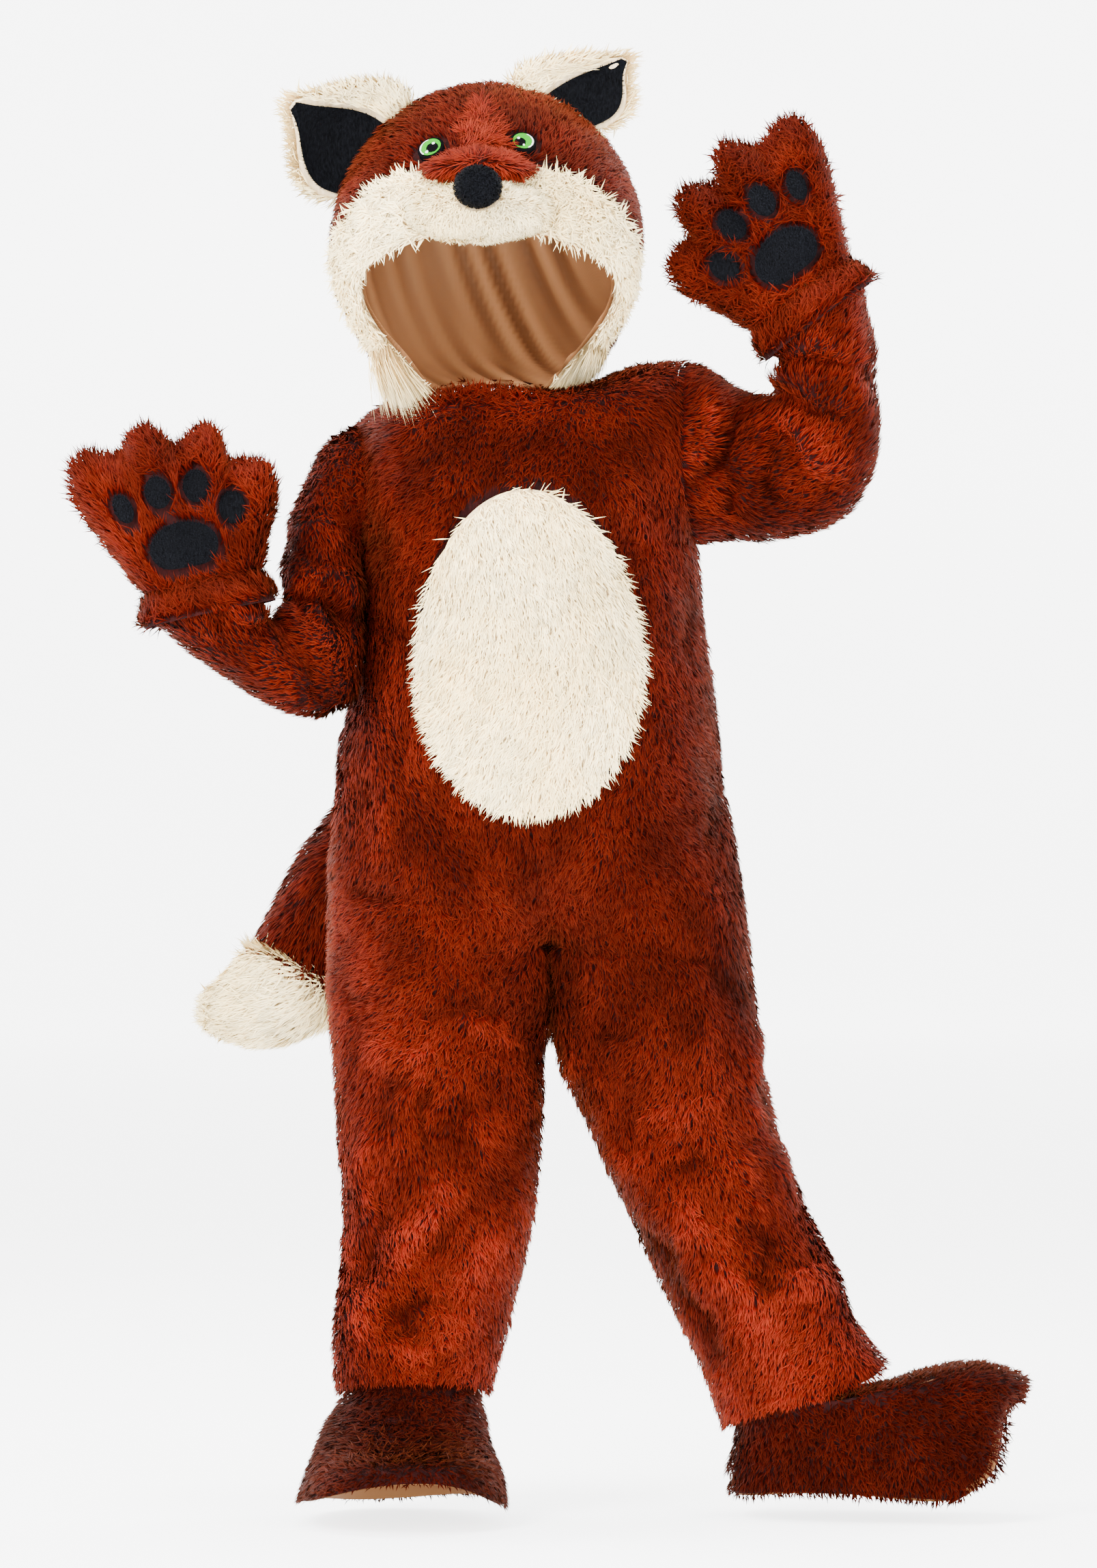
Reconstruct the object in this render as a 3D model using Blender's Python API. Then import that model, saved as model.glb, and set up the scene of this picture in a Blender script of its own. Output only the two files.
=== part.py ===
"""Child's plush fox costume, held in its worn pose with nobody in it.

A one-piece jumpsuit of long-pile plush with a hood that is a fox's face, a cream belly patch,
paw mitts, a stuffed tail and shoe covers. Every piece of cloth is a thin wall around a hollow.
Tables are in millimetres: x to the viewer's right, y away from the viewer, z above the floor.
The wearer's right is the viewer's left. The origin is between the shoulders, which carry it.
"""
import math

import bmesh
import bpy
import numpy as np

MM = 0.001
HOLD_HEIGHT = 920.0
SEAM_GAP = 0.35
ARMHOLE_GAP = 0.8
PLUSH_WALL = 3.5
LINING_WALL = 1.2
PAD_WALL = 1.8

PANEL_COLUMNS = 8
ARMHOLE_ROWS = 8
CROTCH_HEIGHT = 470.0
FORK_RISE = 100.0
LEG_ROUNDING = 250.0
ARMPIT_HEIGHT = 805.0

COLOURS = {
    "rust_plush": ((0.30, 0.045, 0.012), 0.95),
    "cream_plush": ((0.86, 0.78, 0.62), 0.95),
    "black_minky": ((0.010, 0.012, 0.014), 0.85),
    "tan_satin": ((0.42, 0.19, 0.065), 0.45),
    "eye_black": ((0.012, 0.012, 0.012), 0.4),
    "eye_green": ((0.08, 0.45, 0.05), 0.35),
}

# One row for each level of a half of the suit: height, outer edge x, centre line or inseam x,
# then half depths to the front and to the back.
WEARER_RIGHT_ROWS = (
    (102, -124, 0, 64, 66), (122, -127, 5, 68, 70), (145, -128, 11, 71, 73), (175, -125, 19, 73, 75),
    (210, -121, 27, 75, 76), (245, -120, 34, 77, 78), (285, -121, 39, 79, 80), (325, -124, 42, 81, 83),
    (365, -124, 44, 84, 87), (400, -127, 46, 88, 92), (430, -128, 47.5, 92, 98), (455, -128, 49.5, 97, 104),
    (470, -128, 51, 101, 108), (474, -128, 51, 102, 109), (482, -128, 51, 104, 111),
    (498, -128, 51, 107, 114), (520, -128, 51, 111, 118), (545, -128, 50, 115, 121),
    (580, -127, 47, 120, 122), (615, -125, 43, 123, 120), (650, -121, 39, 124, 116),
    (690, -109, 34, 124, 112), (730, -103, 29, 122, 110), (768, -102, 24, 118, 110),
    (805, -104, 20, 113, 111),
)
WEARER_LEFT_ROWS = (
    (100, 328, 194, 62, 64), (120, 321, 184, 66, 68), (142, 313, 172, 70, 71), (170, 301, 156, 73, 74),
    (205, 286, 138, 75, 76), (242, 268, 121, 77, 78), (285, 247, 100, 79, 80), (325, 236, 81, 81, 83),
    (365, 227, 63, 84, 87), (400, 221, 57, 88, 92), (430, 218, 54.5, 92, 98), (455, 215, 52.5, 97, 104),
    (470, 214, 51, 101, 108), (474, 214, 51, 102, 109), (482, 213, 51, 104, 111),
    (498, 211, 51, 107, 114), (520, 208, 51, 111, 118), (545, 204, 50, 115, 121),
    (580, 198, 47, 120, 122), (615, 191, 43, 123, 120), (650, 188, 39, 124, 116),
    (690, 183, 34, 124, 112), (730, 178, 29, 122, 110), (768, 174, 24, 118, 110),
    (805, 170, 20, 113, 111),
)
# Hems aren't level: how far each leg's hem drops at its outer edge, and rises at the front.
HEM_TILT = {"right": (0, 14), "left": (56, 0)}

# Armholes: shoulder point x and z, half depth, and how far their middle is drawn in.
ARMHOLES = {"right": (-108, 903, 52, 8), "left": (158, 955, 58, 7)}
NECK = {"x": 0, "half_width": 70, "half_depth": 68, "front_z": 928, "side_z": 925, "back_z": 938}
SHOULDER_HUMP = {"right": 4, "left": 8}

# One row for each sleeve section: top edge x and z, under edge x and z, y of its middle, half depth.
WEARER_LEFT_SLEEVE = (
    (180, 948, 188, 808, -3, 58), (201, 934, 212, 808, -10, 57), (217, 927, 245, 811, -18, 55),
    (227, 926, 279, 819, -26, 53), (232, 929, 302, 838, -33, 51), (234, 933, 316, 868, -39, 49),
    (235, 938, 319, 903, -44, 47), (235, 943, 318, 936, -49, 43), (235, 949, 316, 962, -53, 40),
    (235, 957, 310, 988, -56, 38),
)
WEARER_RIGHT_SLEEVE = (
    (-132, 888, -113, 796, -4, 53), (-148, 862, -110, 772, -12, 54), (-158, 836, -108, 748, -22, 54),
    (-163, 811, -107, 724, -34, 52), (-167, 788, -107, 700, -47, 50), (-170, 766, -109, 680, -60, 48),
    (-172, 752, -124, 666, -72, 46), (-175, 745, -150, 663, -83, 44), (-179, 741, -180, 674, -92, 42),
    (-183, 741, -212, 694, -101, 40), (-185, 743, -242, 715, -108, 38),
)

# Creases pressed into the suit: x and z of both ends, width, then depth (minus is a trough).
FRONT_CREASES = (
    (-118, 545, -121, 480, 13, 5), (-124, 452, -118, 405, 12, 5), (-120, 372, -124, 335, 12, 4),
    (-96, 408, 36, 402, 11, -6), (-80, 424, 20, 420, 10, 4), (46, 402, 76, 330, 12, -6),
    (-52, 508, -14, 492, 10, -4), (-104, 250, -30, 290, 15, -5), (-108, 208, -12, 236, 13, -5),
    (-110, 182, 6, 196, 11, 5), (-112, 158, 2, 168, 11, -5), (96, 300, 190, 352, 16, -5),
    (140, 262, 232, 292, 14, 5), (150, 226, 250, 246, 14, -6), (176, 190, 278, 196, 14, 6),
    (190, 160, 300, 158, 13, -7), (60, 520, 150, 470, 18, -4), (178, 420, 206, 300, 13, -5),
    (-90, 600, -40, 560, 16, -3), (-100, 790, -60, 850, 15, -4), (120, 800, 150, 870, 14, -5),
)
BACK_CREASES = (
    (-118, 545, -121, 480, 13, 5), (-124, 452, -118, 405, 12, 5), (-100, 440, 30, 448, 12, -7),
    (72, 446, 190, 436, 12, -7), (-90, 424, 20, 428, 11, 4), (-104, 262, -20, 240, 14, -5),
    (-108, 206, 0, 222, 13, 5), (-108, 166, 4, 172, 12, -5), (120, 262, 226, 280, 14, -5),
    (160, 214, 262, 220, 14, 6), (186, 168, 292, 164, 13, -6), (-60, 690, 120, 700, 16, -4),
    (-80, 640, 140, 636, 16, 4), (-96, 820, -50, 870, 14, -5), (110, 830, 140, 890, 14, -5),
)
SLEEVE_CREASES = (
    (236, 925, 296, 880, 8, -5), (238, 938, 312, 912, 7, 4), (238, 950, 312, 936, 7, -5),
    (222, 905, 262, 850, 9, -4), (196, 920, 204, 850, 9, -3), (240, 968, 300, 972, 8, 4),
    (-166, 770, -112, 740, 8, -5), (-158, 792, -110, 760, 8, 4), (-180, 754, -150, 706, 8, -4),
    (-196, 758, -196, 716, 8, 4), (-212, 768, -226, 734, 8, -4), (-150, 850, -114, 820, 10, -3),
)

# Hood arches from the face opening back to the nape: lean from upright in degrees (minus is
# forward), centre x, half width, reach of the apex and reach of the ends from the neck's centre.
HOOD_NECK_Z = 945
HOOD_SEAT = 2.0
HOOD_ARCHES = (
    (-48, 0, 108, 166, 34), (-41, -1, 119, 183, 22), (-32, -3, 128, 201, 8),
    (-18, -2, 129, 226, -6), (0, -1, 127, 240, -12), (20, 0, 124, 227, -2), (38, 0, 118, 192, 12),
    (55, 0, 108, 157, 26), (71, 0, 95, 126, 38), (85, 0, 82, 99, 48),
)
ARCH_SPAN = 232
NECK_START_ANGLE = 44
NECK_SIDE_ANGLE = 112
HOOD_COLUMNS = 16
TRIM_ROWS = 2

# Leaf-shaped ears: hood arch angles at both ends of the base, tip x, y, z, cup depth, bow, then
# where the black inside starts and ends across the leaf, from -1 to 1.
EARS = {"right": (160, 118, -162, -34, 1166, 13, 15, -0.92, 0.46),
        "left": (81, 48, 112, -18, 1205, 11, 13, -0.30, 0.92)}
EAR_ARCH = 3.7
EAR_SEAT = {"right": 4.15, "left": 5.4}
FACE_ARCHES = 5

BELLY = {"x": 33, "z": 715, "half_width": 95, "half_height": 141}
EYES = {"right": (-46, 1122, 9.5), "left": (28, 1127, 9.0)}
MUZZLE = {"x": -7, "z": 1068, "half_width": 61, "half_height": 26, "reach": 30}
BRIDGE = {"x": -8, "z": 1108.5, "half_width": 42, "half_height": 13, "reach": 27}
NOSE = {"x": -8, "z": 1087, "half_width": 19, "half_height": 17, "reach": 24}
# Where a patch hangs below its surface, it takes the depth found this far above.
OVERHANG_STEPS = (0, 2, 4, 7, 10, 14, 19, 25)

# Mitts: wrist centre x, y, z, turn of the fingers towards the viewer's left, mirror, size.
MITTS = {"right": (-231, -112, 768, 12.5, 1, 0.97), "left": (256, -56, 1006, 37, -1, 0.98)}
MITT_WRIST_HALF_WIDTH = 48
MITT_PALM_DEPTH = 30
MITT_BACK_DEPTH = 27
# Paw lobes along the top edge: start u and v, end u and v, height.
PAW_LOBES = ((-88, 86, -45, 116, 25), (-45, 116, 0, 113, 22), (0, 113, 42, 92, 25), (42, 92, 69, 50, 21))
# Cuff rings: v, half width, half depth.
CUFF_RINGS = ((-25, 59, 45), (-12, 54, 41))
# Pads: name, centre u and v, half width, half height, lean in degrees.
PADS = (("pad_toe_1", -51, 75, 8, 13, 14), ("pad_toe_2", -20, 82, 11, 14, 4),
        ("pad_toe_3", 12, 81, 11, 14, -6), ("pad_toe_4", 38, 57, 11, 14, -12),
        ("pad_main", -8, 33, 29, 21, -2))

# Tail sections: x, y, z of the middle and radius.
TAIL = ((42, 122.4, 604, 26), (39, 147, 608, 36), (20, 170, 611, 43), (-16, 184, 605, 46),
        (-56, 186, 585, 47), (-96, 176, 551, 49), (-126, 160, 510, 49), (-147, 148, 470, 47),
        (-163, 140, 441, 45))
TAIL_TIP = ((-164, 139.6, 440, 45), (-182, 134, 430, 43), (-204, 129, 420, 35), (-224, 126, 417, 25),
            (-238, 125, 418, 14))

# Shoe covers, from the ankle ring down to the open sole: x, y and z of the ring's middle, half
# length, half width, rise of the toe end over the heel end.
WEARER_RIGHT_COVER = (
    (-63, 2, 132, 48, 46, 0), (-62, 0, 108, 54, 51, 0), (-67, -14, 86, 75, 62, -4),
    (-70, -34, 64, 98, 69, -2), (-69, -46, 41, 113, 78, 5), (-71, -48, 17, 118, 84, 6),
)
WEARER_LEFT_COVER = (
    (258, 0, 124, 49.5, 47.5, 0), (260, -1, 98, 53.5, 51.5, 6), (299, -4, 95, 96, 56, 35),
    (320, -6, 79, 122, 62, 36), (311, -6, 60, 113, 64, 21), (306, -6, 41, 106, 63, 8),
    (302, -6, 22, 104, 62, 0),
)
# Rise of the hem over the toe of the wearer's right cover.
COVER_ARCH = {"right": 19, "left": 0}
COVER_COLUMNS = 20
# The wearer's left cover is cut away under the cap of its toe. From this ring down, columns on
# either side of the toe run to: forward and aside of the hem's middle, and height.
CAP_ROW = 3
CAP_HEM = {"right": (), "left": ((143, 0, 97), (122, 22, 88), (118, 43, 46), (93, 56, 20))}


def clear_scene():
    for item in list(bpy.data.objects):
        bpy.data.objects.remove(item, do_unlink=True)


def make_collection(name):
    collection = bpy.data.collections.new(name)
    bpy.context.scene.collection.children.link(collection)
    return collection


def make_material(name):
    colour, roughness = COLOURS[name]
    material = bpy.data.materials.new(name)
    material.use_nodes = True
    shader = material.node_tree.nodes["Principled BSDF"]
    shader.inputs["Base Color"].default_value = (*colour, 1.0)
    shader.inputs["Roughness"].default_value = roughness
    shader.inputs["Metallic"].default_value = 0.0
    return material


def unit(vectors):
    length = np.linalg.norm(vectors, axis=-1, keepdims=True)
    return vectors / np.maximum(length, 1e-9)


def surface_normals(grid, wrap=False):
    """Unit normals of a grid of points, pointing away from the middle of each row."""
    along = np.gradient(grid, axis=0)
    if wrap:
        across = np.roll(grid, -1, axis=1) - np.roll(grid, 1, axis=1)
    else:
        across = np.gradient(grid, axis=1)
    normals = unit(np.cross(across, along))
    outward = grid - grid.mean(axis=(0, 1), keepdims=True)
    if np.sum(normals * outward) < 0:
        normals = -normals
    return normals


def draw_in(grid, gap, wrap):
    """Move the borders of a grid in by a gap, so that a seam parts two pieces."""
    moved = grid.copy()
    moved[0] += unit(grid[1] - grid[0]) * gap
    moved[-1] += unit(grid[-2] - grid[-1]) * gap
    if not wrap:
        moved[:, 0] += unit(grid[:, 1] - grid[:, 0]) * gap
        moved[:, -1] += unit(grid[:, -2] - grid[:, -1]) * gap
    return moved


def add_mesh(name, points, faces, collection, material):
    """Make an object from points in millimetres over the floor, with its faces pointing out."""
    origin = np.array((0.0, 0.0, HOLD_HEIGHT))
    mesh = bpy.data.meshes.new(name)
    mesh.from_pydata([tuple(p) for p in (np.asarray(points) - origin) * MM], [], faces)
    cloth = bmesh.new()
    cloth.from_mesh(mesh)
    bmesh.ops.recalc_face_normals(cloth, faces=cloth.faces)
    cloth.to_mesh(mesh)
    cloth.free()
    mesh.shade_smooth()
    thing = bpy.data.objects.new(name, mesh)
    thing.data.materials.append(material)
    collection.objects.link(thing)
    return thing


def layer_faces(rows, columns, wrap, first):
    """Triangles over a grid of points, all cut along the same diagonal."""
    faces = []
    for i in range(rows - 1):
        for j in range(columns if wrap else columns - 1):
            k = (j + 1) % columns
            a, b = first + i * columns + j, first + i * columns + k
            c, d = first + (i + 1) * columns + k, first + (i + 1) * columns + j
            faces += [(a, b, c), (a, c, d)]
    return faces


def rim_faces(loop, offset, closed=True):
    """Quads that join a loop of the outer layer to the same loop of the inner layer."""
    pairs = zip(loop, loop[1:] + loop[:1]) if closed else zip(loop, loop[1:])
    return [(a, b, b + offset, a + offset) for a, b in pairs]


def cloth_wall(name, outer, inner, collection, material, wrap=False, gap=SEAM_GAP / 2):
    """A closed wall between an outer and an inner grid, as a tube if it wraps, else as a sheet."""
    outer = draw_in(outer, gap, wrap)
    inner = draw_in(inner, gap, wrap)
    rows, columns = outer.shape[:2]
    count = rows * columns
    points = np.concatenate((outer.reshape(-1, 3), inner.reshape(-1, 3)))
    faces = layer_faces(rows, columns, wrap, 0) + layer_faces(rows, columns, wrap, count)
    first_row = list(range(columns))
    last_row = list(range(count - columns, count))
    if wrap:
        faces += rim_faces(first_row, count) + rim_faces(last_row, count)
    else:
        right = [i * columns + columns - 1 for i in range(1, rows - 1)]
        left = [i * columns for i in range(rows - 2, 0, -1)]
        faces += rim_faces(first_row + right + last_row[::-1] + left, count)
    return add_mesh(name, points, faces, collection, material)


def stuffed_form(name, rings, collection, material):
    """A closed solid through rings of points, with a fan over each end."""
    rows, columns = rings.shape[:2]
    points = np.concatenate((rings.reshape(-1, 3), rings[:1].mean(axis=1), rings[-1:].mean(axis=1)))
    faces = layer_faces(rows, columns, True, 0)
    for j in range(columns):
        k = (j + 1) % columns
        last = (rows - 1) * columns
        faces += [(j, k, rows * columns), (last + j, last + k, rows * columns + 1)]
    return add_mesh(name, points, faces, collection, material)


def crease(grid, normals, table):
    """Push a grid in or out along creases, each measured across its line seen from the front."""
    shift = np.zeros(grid.shape[:2])
    flat = grid[..., [0, 2]]
    for x0, z0, x1, z1, width, depth in table:
        start = np.array((x0, z0), float)
        line = np.array((x1, z1), float) - start
        along = np.clip(((flat - start) @ line) / (line @ line), 0, 1)
        away = np.linalg.norm(flat - start - along[..., None] * line, axis=-1)
        shift += depth * np.exp(-((away / width) ** 2))
    return grid + normals * shift[..., None]


def half_section(row, height):
    """Front and back edges of one half of the suit at one level, from the centre to the side."""
    _, outer, centre, front, back = row
    fork = min(max((height - CROTCH_HEIGHT) / FORK_RISE, 0), 1)
    edge_leg = 1 - math.sqrt(1 - (1 - fork) ** 2)
    part = min(max((CROTCH_HEIGHT + FORK_RISE - height) / LEG_ROUNDING, 0), 1)
    body_leg = part * part * (3 - 2 * part)
    middle = (outer + centre) / 2
    sections = []
    for side, depth in ((-1, front), (1, back)):
        points = []
        for c in range(PANEL_COLUMNS + 1):
            turn = c / PANEL_COLUMNS * math.pi
            near_edge = max(0.0, 1 - c / 3) ** 2
            leg = body_leg + (edge_leg - body_leg) * near_edge
            torso_x = centre + (outer - centre) * math.sin(turn / 2)
            torso_y = side * depth * math.cos(turn / 2)
            leg_x = middle + (centre - middle) * math.cos(turn)
            leg_y = side * depth * 0.92 * math.sin(turn)
            points.append((torso_x + (leg_x - torso_x) * leg, torso_y + (leg_y - torso_y) * leg, height))
        sections.append(points)
    return sections


def neck_point(angle):
    """A point of the neckline, at an angle from the front centre towards the wearer's right."""
    turn = math.radians(angle)
    ends = (NECK["front_z"], NECK["back_z"])
    side = NECK["side_z"]
    end = ends[0] if math.cos(turn) > 0 else ends[1]
    z = side + (end - side) * abs(math.cos(turn)) ** 2
    x = NECK["x"] - NECK["half_width"] * math.sin(turn)
    return np.array((x, -NECK["half_depth"] * math.cos(turn), z))


def yoke_section(side, facing, share, start):
    """One row of the yoke, between the centre line or neckline and the armhole."""
    shoulder_x, shoulder_z, depth, drawn = ARMHOLES[side]
    sign = -1 if side == "right" else 1
    arm_turn = share * math.pi
    armhole = np.array((
        start[-1][0] + (shoulder_x - start[-1][0]) * share - sign * drawn * math.sin(arm_turn),
        facing * depth * math.sin(arm_turn),
        start[-1][2] + (shoulder_z - start[-1][2]) * (1 - math.cos(arm_turn)) / 2))
    neck_turn = 0 if facing < 0 else 180
    pit = neck_point(neck_turn)
    if share <= 0.5:
        rise = share * 2
        centre = np.array(start[0]) * (1 - rise) + pit * rise
        centre[1] += facing * 12 * math.sin(rise * math.pi)
    else:
        swing = (share - 0.5) * 2 * 90 * -sign
        centre = neck_point(swing if facing < 0 else 180 - swing)
    fullness = 22 * math.sin(share * math.pi)
    hump = SHOULDER_HUMP[side] * share ** 2
    points = []
    for c in range(PANEL_COLUMNS + 1):
        turn = c / PANEL_COLUMNS * math.pi / 2
        spread = (1 - share) * math.sin(turn) + share * c / PANEL_COLUMNS
        lean = (1 - share) * math.cos(turn) + share * (1 - c / PANEL_COLUMNS)
        x = centre[0] + (armhole[0] - centre[0]) * spread
        y = armhole[1] + (centre[1] - armhole[1]) * lean + facing * fullness * math.sin(2 * turn)
        z = centre[2] + (armhole[2] - centre[2]) * spread + hump * math.sin(2 * turn)
        points.append((x, y, z))
    return points


def suit_half(side, table):
    """Front and back grids of one half of the suit, from the hem up to the shoulder seam."""
    drop, arch = HEM_TILT[side]
    fronts, backs = [], []
    for row in table:
        front, back = half_section(row, row[0])
        fade = max(0.0, 1 - (row[0] - table[0][0]) / 90) ** 2
        shaped = []
        for points, lift in ((front, arch), (back, 0)):
            tilted = []
            for c, (x, y, z) in enumerate(points):
                share = c / PANEL_COLUMNS
                z += fade * (drop * (share - 0.5) + lift * math.sin(share * math.pi))
                tilted.append((x, y, z))
            shaped.append(tilted)
        fronts.append(shaped[0])
        backs.append(shaped[1])
    for step in range(1, ARMHOLE_ROWS + 1):
        share = step / ARMHOLE_ROWS
        fronts.append(yoke_section(side, -1, share, fronts[len(table) - 1]))
        backs.append(yoke_section(side, 1, share, backs[len(table) - 1]))
    return {"front": np.array(fronts, float), "back": np.array(backs, float)}


def share_normals(*views):
    """Give the same normals to borders that lie on one seam."""
    total = unit(sum(view.copy() for view in views))
    for view in views:
        view[...] = total


def suit_normals(halves, crotch_row, armpit_row):
    normals = {}
    for side, half in halves.items():
        normals[side] = {facing: surface_normals(grid) for facing, grid in half.items()}
        for facing, sign in (("front", -1), ("back", 1)):
            if np.sum(normals[side][facing][..., 1]) * sign < 0:
                normals[side][facing] *= -1
        front, back = normals[side]["front"], normals[side]["back"]
        share_normals(front[:armpit_row + 1, -1], back[:armpit_row + 1, -1])
        share_normals(front[-1], back[-1])
        share_normals(front[:crotch_row, 0], back[:crotch_row, 0])
    pit_row = armpit_row + ARMHOLE_ROWS // 2
    for facing in ("front", "back"):
        seam = slice(crotch_row + 1, pit_row + 1)
        share_normals(normals["right"][facing][seam, 0], normals["left"][facing][seam, 0])
    crotch = [normals[side][facing][crotch_row:crotch_row + 1, 0]
              for side in halves for facing in ("front", "back")]
    for view in crotch:
        view[...] = (0, 0, -1)
    return normals


def build_suit(collection, materials):
    tables = {"right": WEARER_RIGHT_ROWS, "left": WEARER_LEFT_ROWS}
    halves = {side: suit_half(side, table) for side, table in tables.items()}
    heights = [row[0] for row in WEARER_RIGHT_ROWS]
    crotch_row = heights.index(CROTCH_HEIGHT)
    armpit_row = heights.index(ARMPIT_HEIGHT)
    plain = suit_normals(halves, crotch_row, armpit_row)
    for side, half in halves.items():
        for facing, table in (("front", FRONT_CREASES), ("back", BACK_CREASES)):
            half[facing] = crease(half[facing], plain[side][facing], table)
        seam = (half["front"][:armpit_row + 1, -1] + half["back"][:armpit_row + 1, -1]) / 2
        inseam = (half["front"][:crotch_row + 1, 0] + half["back"][:crotch_row + 1, 0]) / 2
        shoulder = (half["front"][-1] + half["back"][-1]) / 2
        for facing in ("front", "back"):
            half[facing][:armpit_row + 1, -1] = seam
            half[facing][:crotch_row + 1, 0] = inseam
            half[facing][-1] = shoulder
    normals = suit_normals(halves, crotch_row, armpit_row)
    for side, half in halves.items():
        for facing in ("front", "back"):
            inner = half[facing] - normals[side][facing] * PLUSH_WALL
            cloth_wall(f"{facing}_{side}", half[facing], inner, collection, materials["rust_plush"])
    return halves, normals, armpit_row


def build_sleeve(side, table, cuff_seat, halves, normals, armpit_row, collection, materials):
    """A sleeve from the armhole's edge to the mitt's cuff, its first ring on the panels' edges."""
    edge, edge_normals, away = [], [], []
    half, half_normals = halves[side], normals[side]
    front_rows = range(armpit_row, armpit_row + ARMHOLE_ROWS + 1)
    back_rows = range(armpit_row + ARMHOLE_ROWS - 1, armpit_row, -1)
    for facing, rows in (("front", front_rows), ("back", back_rows)):
        for i in rows:
            edge.append(half[facing][i, -1])
            edge_normals.append(half_normals[facing][i, -1])
            away.append(unit(half[facing][i, -1] - half[facing][i, -2]))
    count = len(edge)
    first = np.array(edge) + np.array(away) * ARMHOLE_GAP
    rings = [first]
    for top_x, top_z, under_x, under_z, middle_y, depth in table:
        ring = []
        for k in range(count):
            turn = 2 * math.pi * k / count
            share = (1 + math.cos(turn)) / 2
            ring.append((top_x + (under_x - top_x) * share, middle_y - depth * math.sin(turn),
                         top_z + (under_z - top_z) * share))
        rings.append(ring)
    grid = np.array(rings, float)
    wrinkled = np.concatenate((grid, cuff_seat[None]))
    wrinkled[1:-1] = crease(grid, surface_normals(grid, wrap=True), SLEEVE_CREASES)[1:]
    sleeve_normals = tube_normals(wrinkled)
    under = ((1 + np.cos(2 * np.pi * np.arange(count) / count)) / 2)[:, None]
    sleeve_normals[0] = unit(np.array(edge_normals) + sleeve_normals[1] * under)
    inner = wrinkled - sleeve_normals * PLUSH_WALL
    cloth_wall(f"sleeve_{side}", wrinkled, inner, collection, materials["rust_plush"], wrap=True, gap=0.0)


def tube_normals(grid):
    """Unit normals of a tube of rings, pointing away from the middle of each ring."""
    normals = surface_normals(grid, wrap=True)
    outward = grid - grid.mean(axis=1, keepdims=True)
    flips = np.sum(normals * outward, axis=(1, 2)) < 0
    normals[flips] *= -1
    return normals


def arch_points(arch, share):
    """One arch of the hood, from the neckline on the viewer's left over to the right."""
    lean, centre_x, half_width, apex, end = arch
    low = math.sin(math.radians(ARCH_SPAN))
    rise = (apex - end) / (1 - low)
    middle = apex - rise
    tilt = math.radians(lean)
    neck_angle = NECK_START_ANGLE + (NECK_SIDE_ANGLE - NECK_START_ANGLE) * share
    points = []
    for j in range(HOOD_COLUMNS + 1):
        across = j / HOOD_COLUMNS
        angle = math.radians(ARCH_SPAN + (180 - 2 * ARCH_SPAN) * across)
        reach = middle + rise * math.sin(angle)
        point = np.array((centre_x + half_width * math.cos(angle), math.sin(tilt) * reach,
                          HOOD_NECK_Z + math.cos(tilt) * reach))
        near_end = max(0.0, 1 - min(across, 1 - across) / 0.26) ** 2
        neck = neck_point(neck_angle if across < 0.5 else -neck_angle)
        neck[2] += HOOD_SEAT
        points.append(point * (1 - near_end) + neck * near_end)
    return points


def hood_grid():
    """Outer points of the hood: arches from the face opening back, then the nape's neckline."""
    rows = [arch_points(arch, i / len(HOOD_ARCHES)) for i, arch in enumerate(HOOD_ARCHES)]
    nape = []
    for j in range(HOOD_COLUMNS + 1):
        angle = NECK_SIDE_ANGLE + (360 - 2 * NECK_SIDE_ANGLE) * j / HOOD_COLUMNS
        point = neck_point(angle)
        point[2] += HOOD_SEAT
        nape.append(point)
    return np.array(rows + [nape], float)


def build_hood(collection, materials):
    grid = hood_grid()
    normals = surface_normals(grid)
    radial = unit(grid * np.array((1.0, 1.0, 0.0)))
    for border in ((slice(None), 0), (slice(None), -1), (-1, slice(None))):
        normals[border] = radial[border]
    for near in ((slice(None), 1), (slice(None), -2), (-2, slice(None))):
        normals[near] = unit(normals[near] + radial[near] * 0.7)
    inner = grid - normals * PLUSH_WALL
    half = HOOD_COLUMNS // 2
    last = grid.shape[0]
    for side, columns in (("right", slice(0, half + 1)), ("left", slice(half, HOOD_COLUMNS + 1))):
        trim = (slice(0, TRIM_ROWS + 1), columns)
        back = (slice(TRIM_ROWS, last), columns)
        cloth_wall(f"hood_trim_{side}", grid[trim], inner[trim], collection, materials["cream_plush"],
                   gap=SEAM_GAP)
        cloth_wall(f"hood_{side}", grid[back], inner[back], collection, materials["rust_plush"],
                   gap=SEAM_GAP)
    lining = grid - normals * (PLUSH_WALL + SEAM_GAP)
    lining_inner = grid - normals * (PLUSH_WALL + SEAM_GAP + LINING_WALL)
    cloth_wall("hood_lining", lining, lining_inner, collection, materials["tan_satin"])
    return grid, normals


def triangles_of(grid):
    rows, columns = grid.shape[:2]
    flat = grid.reshape(-1, 3)
    return flat[np.array(layer_faces(rows, columns, False, 0))]


def front_of(triangles, x, z):
    """The y of the frontmost of some triangles at a place seen from the front."""
    a, b, c = triangles[:, 0], triangles[:, 1], triangles[:, 2]
    place = np.array((x, z))
    p, q, r = a[:, [0, 2]], b[:, [0, 2]], c[:, [0, 2]]
    area = np.cross(q - p, r - p)
    area = np.where(np.abs(area) < 1e-6, 1e-6, area)
    s = np.cross(place - p, r - p) / area
    t = np.cross(q - p, place - p) / area
    inside = (s >= -1e-6) & (t >= -1e-6) & (s + t <= 1 + 1e-6)
    depth = a[:, 1] + s * (b[:, 1] - a[:, 1]) + t * (c[:, 1] - a[:, 1])
    return float(np.min(depth[inside])) if inside.any() else None


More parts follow.
